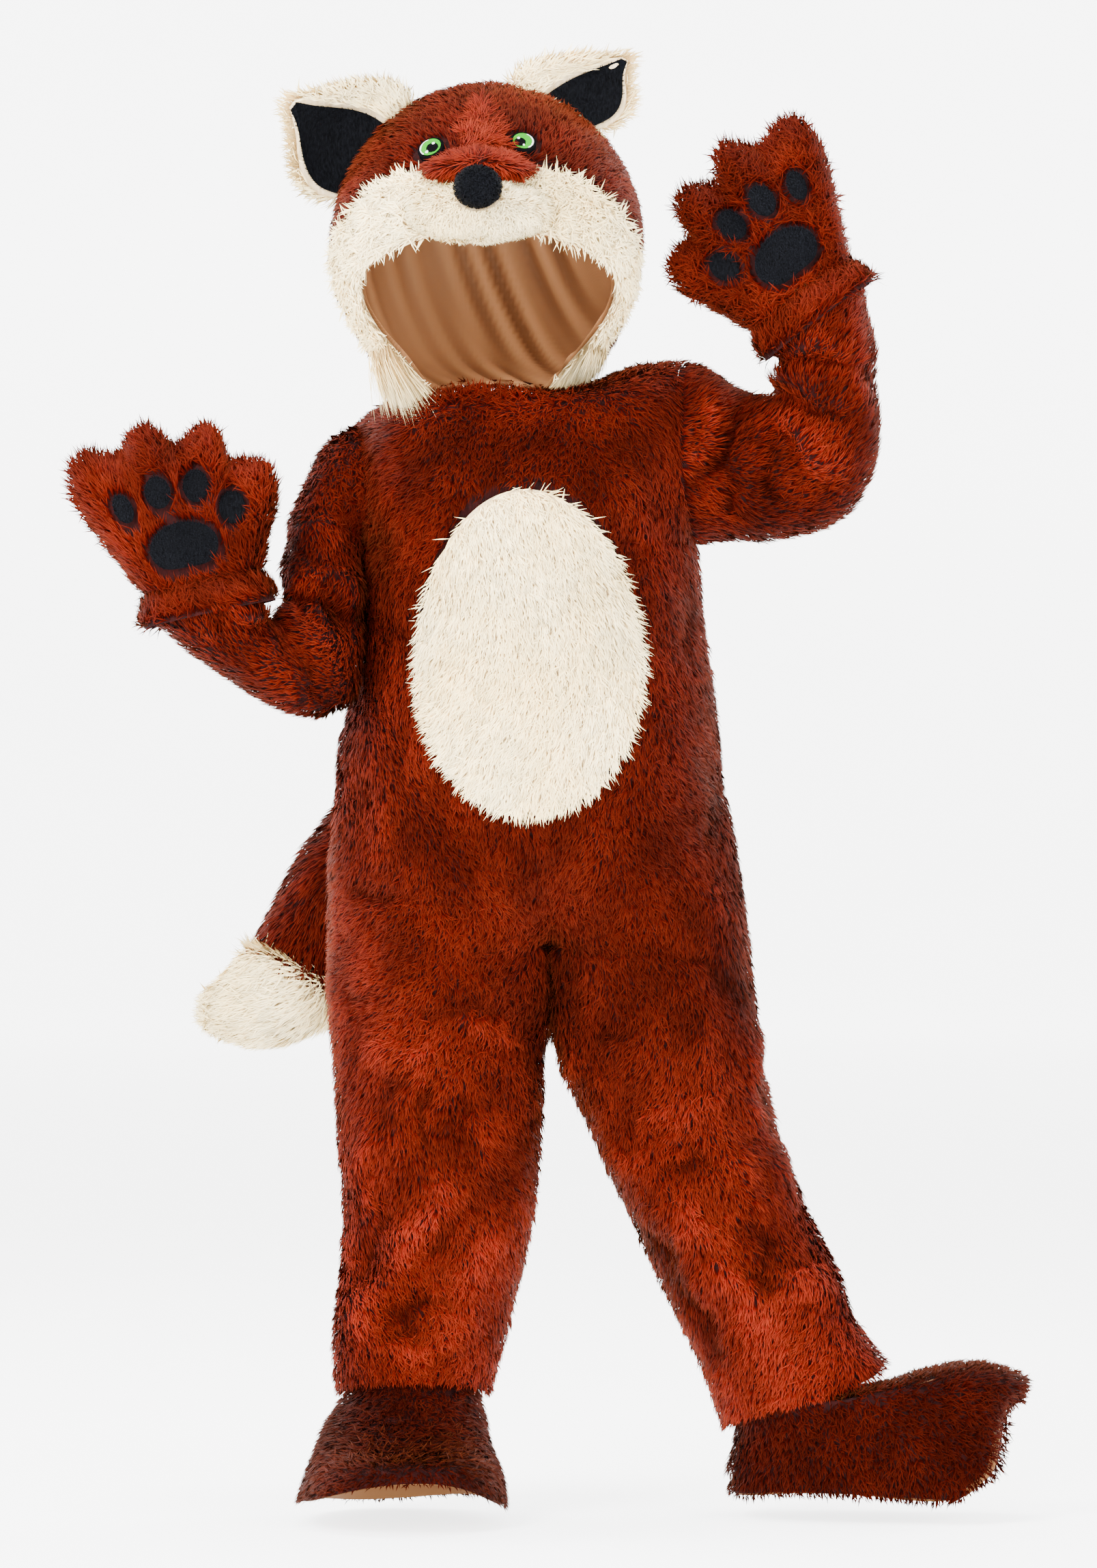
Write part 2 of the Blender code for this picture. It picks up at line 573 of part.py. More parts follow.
def patch(name, triangles, place, half_size, collection, material, place_point=None, spokes=16,
          rings=(0.5, 1.0), lean=0.0, pear=0.0, notch=0.0, wall=2.0, reach=0.0, lift=1.0, crown=None):
    """A piece sewn on a surface: its points follow the surface below, moved out by the lift."""
    centre_x, centre_z = place
    turn = math.radians(lean)
    back, front = [], []
    for share in (0.0, *rings):
        for k in range(spokes if share else 1):
            angle = 2 * math.pi * k / spokes
            dip = notch * math.exp(-((angle - 1.5 * math.pi) / 0.42) ** 2)
            u = half_size[0] * math.cos(angle) * (1 - pear * math.sin(angle)) * share * (1 - dip)
            v = half_size[1] * math.sin(angle) * share * (1 - dip)
            x = centre_x + u * math.cos(turn) - v * math.sin(turn)
            z = centre_z + u * math.sin(turn) + v * math.cos(turn)
            y = next(filter(None, (front_of(triangles, x, z + over) for over in OVERHANG_STEPS)))
            swell = crown(share, angle) if crown else 1 - share ** 2
            back.append((x, y - lift, z))
            front.append((x, y - lift - wall - reach * swell, z))
    count = len(back)
    points = np.array(front + back, float)
    if place_point is not None:
        points = place_point(points)
    faces = []
    for layer in (0, count):
        for k in range(spokes):
            m = (k + 1) % spokes
            faces.append((layer, layer + 1 + k, layer + 1 + m))
            for ring in range(len(rings) - 1):
                a, b = layer + 1 + ring * spokes + k, layer + 1 + ring * spokes + m
                faces += [(a, a + spokes, b + spokes), (a, b + spokes, b)]
    border = [1 + (len(rings) - 1) * spokes + k for k in range(spokes)]
    faces += rim_faces(border, count)
    return add_mesh(name, points, faces, collection, material)


def build_belly(halves, collection, materials):
    fronts = np.concatenate([triangles_of(half["front"]) for half in halves.values()])
    patch("belly_patch", fronts, (BELLY["x"], BELLY["z"]), (BELLY["half_width"], BELLY["half_height"]),
          collection, materials["cream_plush"], spokes=28, rings=(0.3, 0.55, 0.8, 1.0), pear=0.06, lean=2,
          wall=3.5, reach=6, lift=2.4)


def muzzle_crown(share, angle):
    """Two puffs side by side, with a soft groove between them."""
    groove = 0.16 * math.exp(-((share * math.cos(angle)) / 0.16) ** 2)
    return (1 - share ** 2.4) ** 0.6 * (1 - groove)


def bridge_crown(share, angle):
    return (1 - share ** 2.2) ** 0.6


def nose_crown(share, angle):
    return math.sqrt(max(0.0, 1 - share ** 2))


def build_face(grid, collection, materials):
    hood = triangles_of(grid[:FACE_ARCHES])
    for side, (x, z, radius) in EYES.items():
        patch(f"eye_{side}", hood, (x, z), (radius, radius), collection, materials["eye_black"],
              spokes=12, rings=(1.0,), wall=1.6, reach=1.2, lift=1.2)
        patch(f"iris_{side}", hood, (x, z), (radius * 0.74, radius * 0.74), collection,
              materials["eye_green"], spokes=12, rings=(1.0,), wall=1.0, reach=0.8, lift=4.4)
    patch("muzzle", hood, (MUZZLE["x"], MUZZLE["z"]), (MUZZLE["half_width"], MUZZLE["half_height"]),
          collection, materials["cream_plush"], spokes=20, rings=(0.3, 0.6, 0.85, 1.0), wall=6,
          reach=MUZZLE["reach"], lift=2.2, crown=muzzle_crown)
    patch("muzzle_bridge", hood, (BRIDGE["x"], BRIDGE["z"]),
          (BRIDGE["half_width"], BRIDGE["half_height"]), collection, materials["rust_plush"],
          spokes=16, rings=(0.5, 0.85, 1.0), pear=0.5, wall=5, reach=BRIDGE["reach"], lift=2.0,
          crown=bridge_crown)
    surface = front_of(hood, MUZZLE["x"], MUZZLE["z"]) - MUZZLE["reach"] - 5.25
    seat = np.array([[(-60, surface, 1050), (60, surface, 1050), (0, surface, 1180)]], float)
    patch("nose", seat, (NOSE["x"], NOSE["z"]), (NOSE["half_width"], NOSE["half_height"]), collection,
          materials["black_minky"], spokes=16, rings=(0.45, 0.8, 1.0), wall=4, reach=NOSE["reach"] - 4,
          lift=0.4, crown=nose_crown)


def build_ear(side, grid, normals, collection, materials):
    """A cupped leaf whose base stands on the hood: a plush back and a smooth black inside."""
    start, end, tip_x, tip_y, tip_z, cup, bow, inner_low, inner_high = EARS[side]
    tip = np.array((tip_x, tip_y, tip_z), float)
    base = []
    arch, past = int(EAR_ARCH), EAR_ARCH % 1
    line = grid[arch] * (1 - past) + grid[arch + 1] * past
    line_normals = unit(normals[arch] * (1 - past) + normals[arch + 1] * past)
    for c in range(7):
        angle = start + (end - start) * c / 6
        across = (ARCH_SPAN - angle) / (2 * ARCH_SPAN - 180) * HOOD_COLUMNS
        j = int(across)
        f = across - j
        point = line[j] * (1 - f) + line[j + 1] * f
        normal = unit(line_normals[j] * (1 - f) + line_normals[j + 1] * f)
        base.append(point + normal * EAR_SEAT[side])
    base = np.array(base)
    for layer, wall, low, high, forward, material in (
            ("outer", 6.0, -1.0, 1.0, 0.0, "cream_plush"),
            ("inner", 2.2, inner_low, inner_high, -1.2, "black_minky")):
        rows = []
        for r in range(6):
            share = r / 5 * (0.985 if layer == "outer" else 0.955) + (0.02 if layer == "inner" else 0)
            narrow = 1 - share ** 1.5
            row = []
            for c in range(7):
                side_share = low + (high - low) * c / 6
                spread = side_share * max(narrow, 0.13)
                foot = base[3] + (base[6] - base[0]) / 2 * spread
                column = (side_share + 1) * 3
                j = min(int(column), 5)
                own = base[j] + (base[j + 1] - base[j]) * (column - j)
                curve = own - (base[3] + (base[6] - base[0]) / 2 * side_share)
                rise = share * (tip - base[3])
                swell = bow * math.sin(share * math.pi) * abs(spread)
                across = unit(base[6] - base[0]) * math.copysign(1, spread) * swell
                back = np.array((0, 1, 0)) * (cup * math.cos(side_share * math.pi / 2)
                                              * math.sin(min(share + 0.12, 1) * math.pi) + forward)
                row.append(foot + curve * (1 - share) + rise + across + back)
            rows.append(row)
        leaf = np.array(rows, float)
        facing = surface_normals(leaf)
        if facing[..., 1].sum() > 0:
            facing = -facing
        if layer == "outer":
            cloth_wall(f"ear_{layer}_{side}", leaf, leaf - facing * wall, collection, materials[material])
        else:
            cloth_wall(f"ear_{layer}_{side}", leaf + facing * wall, leaf, collection, materials[material])


def mitt_local_grid():
    """Rings of a mitt from the wrist to the paw's edge, flat on (u, v), palm towards minus y."""
    top = []
    for start_u, start_v, end_u, end_v, height in PAW_LOBES:
        chord = np.array((end_u - start_u, end_v - start_v), float)
        out = np.array((-chord[1], chord[0])) / np.linalg.norm(chord)
        for step in range(4):
            share = step / 4
            bulge = height * math.sin(share * math.pi) ** 0.7
            top.append(np.array((start_u, start_v)) + chord * share + out * bulge)
    top.append(np.array(PAW_LOBES[-1][2:4], float))
    columns = len(top) - 1
    rows = 6
    palm, back = [], []
    for r in range(rows + 1):
        share = r / rows
        palm_row, back_row = [], []
        for c in range(columns + 1):
            across = 2 * c / columns - 1
            start = np.array((across * MITT_WRIST_HALF_WIDTH, 0))
            place = start * (1 - share) + top[c] * share
            edge = math.sqrt(max(0.0, 1 - abs(across) ** 3)) * math.sqrt(max(0.0, 1 - share ** 3))
            lobe = abs(math.sin(c / 4 * math.pi))
            full = edge * (1 - 0.28 * share * (1 - lobe))
            palm_row.append((place[0], -MITT_PALM_DEPTH * full, place[1]))
            back_row.append((place[0], MITT_BACK_DEPTH * full, place[1]))
        palm.append(palm_row)
        back.append(back_row)
    return np.array(palm, float), np.array(back, float)


def build_mitt(side, collection, materials):
    """A mitt of palm, back, cuff and pads; gives the ring inside its cuff where the sleeve ends."""
    wrist_x, wrist_y, wrist_z, tilt, mirror, size = MITTS[side]
    turn = math.radians(tilt)

    def place(points):
        u, y, v = points[..., 0] * mirror * size, points[..., 1] * size, points[..., 2] * size
        x = wrist_x + u * math.cos(turn) - v * math.sin(turn)
        z = wrist_z + u * math.sin(turn) + v * math.cos(turn)
        return np.stack((x, wrist_y + y, z), axis=-1)

    palm, back = mitt_local_grid()
    whole = np.concatenate((palm, back[:, -2:0:-1]), axis=1)
    normals = tube_normals(whole)
    rim = whole[-1] - np.array((0.0, 0.0, 60.0))
    normals[-1] = unit(rim * np.array((1.0, 0.0, 1.0)))
    columns = palm.shape[1]
    inner = whole - normals * PLUSH_WALL
    sides = {"palm": list(range(columns)), "back": list(range(columns - 1, whole.shape[1])) + [0]}
    for name, columns_used in sides.items():
        apart = np.array((0.0, -SEAM_GAP if name == "palm" else SEAM_GAP, 0.0))
        cloth_wall(f"mitt_{name}_{side}", place(whole[:, columns_used] + apart),
                   place(inner[:, columns_used] + apart), collection, materials["rust_plush"])
    ring = []
    for v, half_width, half_depth in CUFF_RINGS:
        ring.append([(-half_width * math.cos(2 * math.pi * k / 16),
                      -half_depth * math.sin(2 * math.pi * k / 16), v) for k in range(16)])
    ring.append([(p[0], p[1], 0.0) for p in whole[0][::2]])
    cuff = np.array(ring, float)
    cuff_inner = cuff - tube_normals(cuff) * PLUSH_WALL
    cuff_inner[-1] = inner[0][::2]
    cloth_wall(f"mitt_cuff_{side}", place(cuff), place(cuff_inner), collection,
               materials["rust_plush"], wrap=True)
    surface = triangles_of(palm)
    for name, u, v, half_width, half_height, lean in PADS:
        main = name == "pad_main"
        patch(f"{name}_{side}", surface, (u, v), (half_width, half_height), collection,
              materials["black_minky"], place_point=place, spokes=14 if main else 10,
              rings=(0.5, 1.0) if main else (1.0,), lean=lean, notch=0.22 if main else 0.0,
              wall=PAD_WALL, reach=1.5, lift=1.5 if main else 1.2)
    seat = cuff_inner[-2]
    return place(seat - unit(seat * np.array((1.0, 1.0, 0.0))) * SEAM_GAP)


def tube_rings(table, columns):
    """Round rings square to a path, each row giving a middle and a radius."""
    middle = np.array([row[:3] for row in table], float)
    radius = [row[3] for row in table]
    along = unit(np.gradient(middle, axis=0))
    rings = []
    for point, direction, size in zip(middle, along, radius):
        across = unit(np.cross(direction, (0.0, 1.0, 0.001)))
        other = np.cross(direction, across)
        rings.append([point + size * (across * math.cos(2 * math.pi * k / columns)
                                      + other * math.sin(2 * math.pi * k / columns))
                      for k in range(columns)])
    return np.array(rings, float)


def build_tail(collection, materials):
    rust = tube_rings(TAIL, 14)
    rust[0, :, 1] = TAIL[0][1]
    direction = unit(np.array(TAIL[-1][:3], float) - np.array(TAIL[-2][:3], float))
    stuffed_form("tail", rust, collection, materials["rust_plush"])
    tip = tube_rings(TAIL_TIP, 14)
    tip[0] = rust[-1] + direction * SEAM_GAP
    stuffed_form("tail_tip", tip, collection, materials["cream_plush"])


def build_cover(side, table, turn, collection, materials):
    """A shoe cover from the ankle down, longer towards the toe, open at the sole and the ankle."""
    rings = []
    for row, (middle_x, middle_y, middle_z, half_length, half_width, rise) in enumerate(table):
        hem = max(0.0, 1 - (len(table) - 1 - row) / 2)
        ring = []
        for k in range(COVER_COLUMNS):
            angle = 2 * math.pi * k / COVER_COLUMNS
            forward = half_length * math.cos(angle)
            aside = half_width * math.copysign(abs(math.sin(angle)) ** 0.9, math.sin(angle))
            x = middle_x + forward * math.cos(turn) - aside * math.sin(turn)
            y = middle_y + forward * math.sin(turn) + aside * math.cos(turn)
            arch = COVER_ARCH[side] * hem * max(0.0, math.cos(angle)) ** 1.5
            wave = 2.5 * hem * math.sin(3 * angle + 0.6)
            ring.append((x, y, middle_z + rise * math.cos(angle) + arch + wave))
        rings.append(ring)
    grid = np.array(rings, float)
    steps = len(table) - 1 - CAP_ROW
    for k, (forward, aside, height) in enumerate(CAP_HEM[side]):
        for sign in (1, -1):
            column = sign * k % COVER_COLUMNS
            across = sign * aside
            end = np.array((table[-1][0] + forward * math.cos(turn) - across * math.sin(turn),
                            table[-1][1] + forward * math.sin(turn) + across * math.cos(turn), height))
            start = grid[CAP_ROW, column].copy()
            for step in range(1, steps + 1):
                grid[CAP_ROW + step, column] = start + (end - start) * step / steps
    normals = tube_normals(grid)
    for k in range(1 - len(CAP_HEM[side]), len(CAP_HEM[side])):
        angle = turn + 2 * math.pi * k / COVER_COLUMNS
        normals[CAP_ROW:, k] = (math.cos(angle), math.sin(angle), 0.0)
    for k in range(1 - len(CAP_HEM[side]), len(CAP_HEM[side])):
        normals[CAP_ROW, k] = unit(normals[CAP_ROW, k] + (0.0, 0.0, 0.45))
    inner = grid - normals * PLUSH_WALL
    cloth_wall(f"shoe_cover_{side}", grid, inner, collection, materials["rust_plush"], wrap=True)
    lining = grid - normals * (PLUSH_WALL + SEAM_GAP)
    lining_inner = grid - normals * (PLUSH_WALL + SEAM_GAP + LINING_WALL)
    cloth_wall(f"shoe_cover_lining_{side}", lining[2:], lining_inner[2:], collection,
               materials["tan_satin"], wrap=True)


def build():
    clear_scene()
    collection = make_collection("fox_costume")
    materials = {name: make_material(name) for name in COLOURS}
    halves, normals, armpit_row = build_suit(collection, materials)
    for side, table in (("right", WEARER_RIGHT_SLEEVE), ("left", WEARER_LEFT_SLEEVE)):
        cuff_seat = build_mitt(side, collection, materials)
        build_sleeve(side, table, cuff_seat, halves, normals, armpit_row, collection, materials)
    hood, hood_normals = build_hood(collection, materials)
    build_face(hood, collection, materials)
    for side in ("right", "left"):
        build_ear(side, hood, hood_normals, collection, materials)
    build_belly(halves, collection, materials)
    build_tail(collection, materials)
    build_cover("right", WEARER_RIGHT_COVER, math.radians(-90), collection, materials)
    build_cover("left", WEARER_LEFT_COVER, math.radians(-10), collection, materials)


build()
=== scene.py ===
"""Looks of a child's plush fox costume, in its worn pose with nobody in it.

Each piece of cloth is a smooth skin on the form of its CAD node, with a pile of curved strands.
Tables are in millimetres: x to the viewer's right, y away, z above the floor. The frame is in
metres, with its origin 920 mm above the floor.
"""
import math

import bmesh
import bpy
import numpy as np
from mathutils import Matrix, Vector, kdtree

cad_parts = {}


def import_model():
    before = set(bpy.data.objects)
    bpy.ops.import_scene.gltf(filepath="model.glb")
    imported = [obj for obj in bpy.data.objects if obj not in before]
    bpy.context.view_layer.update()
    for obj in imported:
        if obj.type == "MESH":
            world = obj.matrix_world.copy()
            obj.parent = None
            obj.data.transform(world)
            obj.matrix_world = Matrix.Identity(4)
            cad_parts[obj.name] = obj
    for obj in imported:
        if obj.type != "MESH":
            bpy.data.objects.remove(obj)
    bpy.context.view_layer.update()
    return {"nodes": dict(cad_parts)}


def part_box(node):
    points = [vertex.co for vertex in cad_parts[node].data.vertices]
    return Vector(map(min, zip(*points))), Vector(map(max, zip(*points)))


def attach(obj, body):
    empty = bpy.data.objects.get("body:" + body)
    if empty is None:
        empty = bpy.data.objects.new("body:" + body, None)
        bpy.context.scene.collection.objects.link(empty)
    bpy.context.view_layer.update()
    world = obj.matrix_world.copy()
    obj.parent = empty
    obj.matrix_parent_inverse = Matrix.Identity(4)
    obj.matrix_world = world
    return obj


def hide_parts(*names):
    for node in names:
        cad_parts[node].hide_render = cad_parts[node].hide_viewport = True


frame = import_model()

HOLD_HEIGHT = 920.0
MM = 0.001
FLOOR_Z = -0.920
BODY = "root"

# Strands in all before the tufts are added, and the most that one piece may have.
STRAND_BUDGET = 405000
STRANDS_A_PIECE = 92000
# How deep a strand's root sits in its skin, and how near the floor its points may come.
ROOT_DEPTH = 0.0008
FLOOR_GAP = 0.0006
# A skin keeps its creases as 0.5 plus their height in mm over this.
RELIEF_RANGE = 7
# How much stronger the creases are made than their tables say.
CREASE_GAIN = 1.25


def world(x, y, z):
    """A point of the tables in the frame's metres."""
    return np.array((x, y, z - HOLD_HEIGHT)) * MM


def unit(vectors):
    return vectors / np.maximum(np.linalg.norm(vectors, axis=-1, keepdims=True), 1e-9)


# Materials.

class Tree:
    """A short way to write a material's nodes."""

    def __init__(self, name):
        self.material = bpy.data.materials.new(name)
        self.material.use_nodes = True
        self.nodes = self.material.node_tree.nodes
        self.links = self.material.node_tree.links
        self.shader = self.nodes["Principled BSDF"]

    def add(self, kind, **settings):
        node = self.nodes.new(kind)
        for key, value in settings.items():
            setattr(node, key, value)
        return node

    def join(self, output, socket):
        self.links.new(output, socket)

    def value(self, name, amount):
        self.shader.inputs[name].default_value = amount

    def noise(self, scale, detail=3.0, stretch=(1, 1, 1)):
        place = self.add("ShaderNodeTexCoord")
        mapping = self.add("ShaderNodeMapping")
        mapping.inputs["Scale"].default_value = stretch
        texture = self.add("ShaderNodeTexNoise")
        texture.inputs["Scale"].default_value = scale
        texture.inputs["Detail"].default_value = detail
        self.join(place.outputs["Object"], mapping.inputs["Vector"])
        self.join(mapping.outputs["Vector"], texture.inputs["Vector"])
        return texture.outputs["Fac"]

    def ramp(self, source, stops):
        ramp = self.add("ShaderNodeValToRGB")
        band = ramp.color_ramp
        while len(band.elements) < len(stops):
            band.elements.new(0.5)
        for element, (place, colour) in zip(band.elements, stops):
            element.position = place
            element.color = (*colour, 1.0)
        self.join(source, ramp.inputs["Fac"])
        return ramp.outputs["Color"]

    def mix(self, share, first, second, blend="MIX"):
        mix = self.add("ShaderNodeMix", data_type="RGBA", blend_type=blend)
        for socket, given in ((mix.inputs[0], share), (mix.inputs[6], first), (mix.inputs[7], second)):
            if isinstance(given, bpy.types.NodeSocket):
                self.join(given, socket)
            elif isinstance(given, tuple):
                socket.default_value = (*given, 1.0)
            else:
                socket.default_value = given
        return mix.outputs[2]

    def bump(self, source, strength, distance):
        bump = self.add("ShaderNodeBump")
        bump.inputs["Strength"].default_value = strength
        bump.inputs["Distance"].default_value = distance
        self.join(source, bump.inputs["Height"])
        self.join(bump.outputs["Normal"], self.shader.inputs["Normal"])


def pile_material(name, root, middle, tip, patchy, gloss, tint=(1.0, 1.0, 1.0), sheen=0.0):
    """Strands: dark at the root as painted shade between the strands, bright at the tip, uneven from lock
    to lock and over larger patches.
    """
    tree = Tree(name)
    pile = tree.add("ShaderNodeAttribute", attribute_name="pile")
    parts = tree.add("ShaderNodeSeparateColor")
    tree.join(pile.outputs["Color"], parts.inputs["Color"])
    colour = tree.ramp(parts.outputs["Red"], ((0.0, root), (0.55, middle), (1.0, tip)))
    lock = tree.ramp(parts.outputs["Green"], ((0.0, (0.62, 0.62, 0.62)), (1.0, (1.32, 1.32, 1.32))))
    colour = tree.mix(1.0, colour, lock, "MULTIPLY")
    # The pile's blue channel carries painted light and shade and multiplies the colour.
    colour = tree.mix(1.0, colour, tree.ramp(parts.outputs["Blue"], ((0.0, (0.0, 0.0, 0.0)),
                                                                     (1.0, (1.0, 1.0, 1.0)))), "MULTIPLY")
    cloud = tree.ramp(tree.noise(15.0, 3.0, (1.0, 1.0, 0.7)), ((0.36, patchy), (0.62, (1.0, 1.0, 1.0))))
    colour = tree.mix(1.0, colour, cloud, "MULTIPLY")
    tree.join(colour, tree.shader.inputs["Base Color"])
    tree.value("Roughness", 0.55)
    tree.value("Sheen Weight", sheen)
    tree.value("Sheen Roughness", 0.45)
    tree.value("Sheen Tint", (*tint, 1.0))
    tree.value("Specular IOR Level", gloss)
    tree.value("Specular Tint", (*tint, 1.0))
    return tree.material


def backing_material(name, dark, light, scale=260.0, gloss=0.15):
    """The knitted backing under a pile, dark like the strands' roots as painted shade between the strands.
    """
    tree = Tree(name)
    grain = tree.noise(scale, 4.0, (1, 1, 0.35))
    tree.join(tree.ramp(grain, ((0.3, dark), (0.75, light))), tree.shader.inputs["Base Color"])
    tree.value("Roughness", 0.95)
    tree.value("Specular IOR Level", gloss)
    tree.bump(grain, 0.6, 0.002)
    return tree.material


def satin_material(name, dark, light):
    """Slippery lining, darker in its troughs as painted shade and lighter along its ridges as painted
    highlight.
    """
    tree = Tree(name)
    relief = tree.add("ShaderNodeAttribute", attribute_name="relief")
    colour = tree.ramp(relief.outputs["Fac"], ((0.15, dark), (0.85, light)))
    weave = tree.add("ShaderNodeTexWave", bands_direction="DIAGONAL")
    weave.inputs["Scale"].default_value = 900.0
    weave.inputs["Distortion"].default_value = 0.6
    place = tree.add("ShaderNodeTexCoord")
    tree.join(place.outputs["Object"], weave.inputs["Vector"])
    colour = tree.mix(0.12, colour, weave.outputs["Color"], "OVERLAY")
    tree.join(colour, tree.shader.inputs["Base Color"])
    tree.value("Roughness", 0.42)
    tree.value("Sheen Weight", 0.05)
    tree.value("Sheen Roughness", 0.3)
    tree.value("Sheen Tint", (0.9, 0.6, 0.35, 1.0))
    tree.value("Specular IOR Level", 0.22)
    tree.value("Specular Tint", (1.0, 0.75, 0.5, 1.0))
    tree.bump(weave.outputs["Fac"], 0.12, 0.0004)
    return tree.material


def thread_material(name, dark, light, scale=1500.0, rough=0.42, gloss=0.12):
    """Satin stitch: fine parallel threads with a slight gloss."""
    tree = Tree(name)
    thread = tree.add("ShaderNodeTexWave", bands_direction="X")
    thread.inputs["Scale"].default_value = scale
    thread.inputs["Distortion"].default_value = 1.5
    thread.inputs["Detail"].default_value = 2.0
    place = tree.add("ShaderNodeTexCoord")
    tree.join(place.outputs["Object"], thread.inputs["Vector"])
    tree.join(tree.ramp(thread.outputs["Fac"], ((0.1, dark), (0.8, light))),
              tree.shader.inputs["Base Color"])
    tree.value("Roughness", rough)
    tree.value("Specular IOR Level", gloss)
    tree.bump(thread.outputs["Fac"], 0.5, 0.0005)
    return tree.material


# Each pile's root colour is darker than its tip: painted shade between the strands.
RUST = pile_material("rust_pile", (0.024, 0.0008, 0.0006), (0.092, 0.0034, 0.0022),
                     (0.230, 0.0250, 0.0095), (0.78, 0.70, 0.70), 0.03, (0.95, 0.25, 0.08), 0.06)
RUST_LONG = pile_material("rust_long_pile", (0.03, 0.0012, 0.0006), (0.12, 0.0055, 0.0026),
                          (0.31, 0.036, 0.013), (0.8, 0.7, 0.7), 0.06, (1.0, 0.45, 0.2))
CREAM = pile_material("cream_pile", (0.68, 0.45, 0.19), (0.96, 0.76, 0.39), (1.00, 0.88, 0.54),
                      (0.97, 0.90, 0.76), 0.08)
BLACK = pile_material("black_pile", (0.0008, 0.0008, 0.0010), (0.0022, 0.0024, 0.0032),
                      (0.0075, 0.0085, 0.0115), (0.7, 0.7, 0.7), 0.02)
# The backings are dark like the piles' roots: painted shade between the strands.
RUST_BACK = backing_material("rust_backing", (0.005, 0.0002, 0.0001), (0.022, 0.0008, 0.0003))
CREAM_BACK = backing_material("cream_backing", (0.55, 0.40, 0.21), (0.82, 0.66, 0.42))
BLACK_BACK = backing_material("black_backing", (0.001, 0.001, 0.0012), (0.004, 0.0044, 0.0056), 700.0, 0.02)
SATIN = satin_material("tan_satin", (0.15, 0.057, 0.021), (0.48, 0.230, 0.098))
# A darker copy of the satin for the shoe covers' linings: painted shade inside the covers.
SATIN_PAINTED_SHADE = satin_material("tan_satin_painted_shade", (0.07, 0.025, 0.008), (0.19, 0.082, 0.028))
THREAD_BLACK = thread_material("black_thread", (0.001, 0.001, 0.001), (0.005, 0.005, 0.006),
                               rough=0.85, gloss=0.0)
THREAD_GREEN = thread_material("green_thread", (0.004, 0.12, 0.002), (0.030, 0.34, 0.012),
                               rough=0.6, gloss=0.04)
THREAD_WHITE = thread_material("white_thread", (0.62, 0.62, 0.60), (0.95, 0.95, 0.93))


# Surfaces read from the CAD nodes.

def outer_layer(node, wall, whole=False):
    """One layer of a node's wall as a bmesh: the one with the most area, without its rim."""
    cloth = bmesh.new()
    cloth.from_mesh(frame["nodes"][node].data)
    bmesh.ops.remove_doubles(cloth, verts=cloth.verts, dist=3e-6)
    low, high = wall * MM * 0.88, wall * MM * 1.12

    def on_rim(face):
        return low < min(edge.calc_length() for edge in face.edges) < high

    rim = {face: on_rim(face) for face in cloth.faces}
    left = set(cloth.faces)
    layers = []
    while left:
        start = left.pop()
        group, reach = [start], [start]
        while reach:
            face = reach.pop()
            for edge in face.edges:
                if len(edge.link_faces) != 2:
                    continue
                limit = 0.75 if rim[edge.link_faces[0]] or rim[edge.link_faces[1]] else 1.25
                if edge.calc_face_angle(0.0) > limit:
                    continue
                for other in edge.link_faces:
                    if other in left:
                        left.discard(other)
                        group.append(other)
                        reach.append(other)
        layers.append(group)
    layers.sort(key=lambda group: -sum(face.calc_area() for face in group))
    if not whole:
        bmesh.ops.delete(cloth, geom=[f for group in layers[1:] for f in group], context="FACES")
    bmesh.ops.join_triangles(cloth, faces=cloth.faces, angle_face_threshold=0.9,
                             angle_shape_threshold=1.2)
    cloth.normal_update()
    return cloth


def object_from(name, mesh, material):
    """A new object in the scene with one material."""
    thing = bpy.data.objects.new(name, mesh)
    mesh.materials.append(material)
    bpy.context.scene.collection.objects.link(thing)
    return thing


def rounded(mesh, levels):
    """A cage smoothed and subdivided so that the result still runs through the cage's points."""
    goal = points_of(mesh)
    cage = goal.copy()
    for _ in range(2):
        smooth = subdivided(mesh, 1)
        cage += (goal - points_of(smooth)[:len(goal)]) * 0.85
        move_points(mesh, cage)
        bpy.data.meshes.remove(smooth)
    return subdivided(mesh, levels)


def subdivided(mesh, levels):
    """A mesh after smooth subdivision, with its corners kept."""
    thing = bpy.data.objects.new("working", mesh)
    bpy.context.scene.collection.objects.link(thing)
    smooth = thing.modifiers.new("smooth", "SUBSURF")
    smooth.levels = smooth.render_levels = levels
    smooth.boundary_smooth = "PRESERVE_CORNERS"
    bpy.context.view_layer.update()
    made = bpy.data.meshes.new_from_object(thing.evaluated_get(bpy.context.evaluated_depsgraph_get()))
    bpy.data.objects.remove(thing, do_unlink=True)
    return made


def points_of(mesh):
    points = np.empty(len(mesh.vertices) * 3)
    mesh.vertices.foreach_get("co", points)
    return points.reshape(-1, 3)


def normals_of(mesh):
    normals = np.empty(len(mesh.vertices) * 3)
    mesh.vertex_normals.foreach_get("vector", normals)
    return normals.reshape(-1, 3)


def triangles_of(mesh):
    mesh.calc_loop_triangles()
    corners = np.empty(len(mesh.loop_triangles) * 3, dtype=np.int32)
    mesh.loop_triangles.foreach_get("vertices", corners)
    return corners.reshape(-1, 3)


def move_points(mesh, points):
    mesh.vertices.foreach_set("co", np.ascontiguousarray(points, dtype=np.float32).ravel())
    mesh.update()


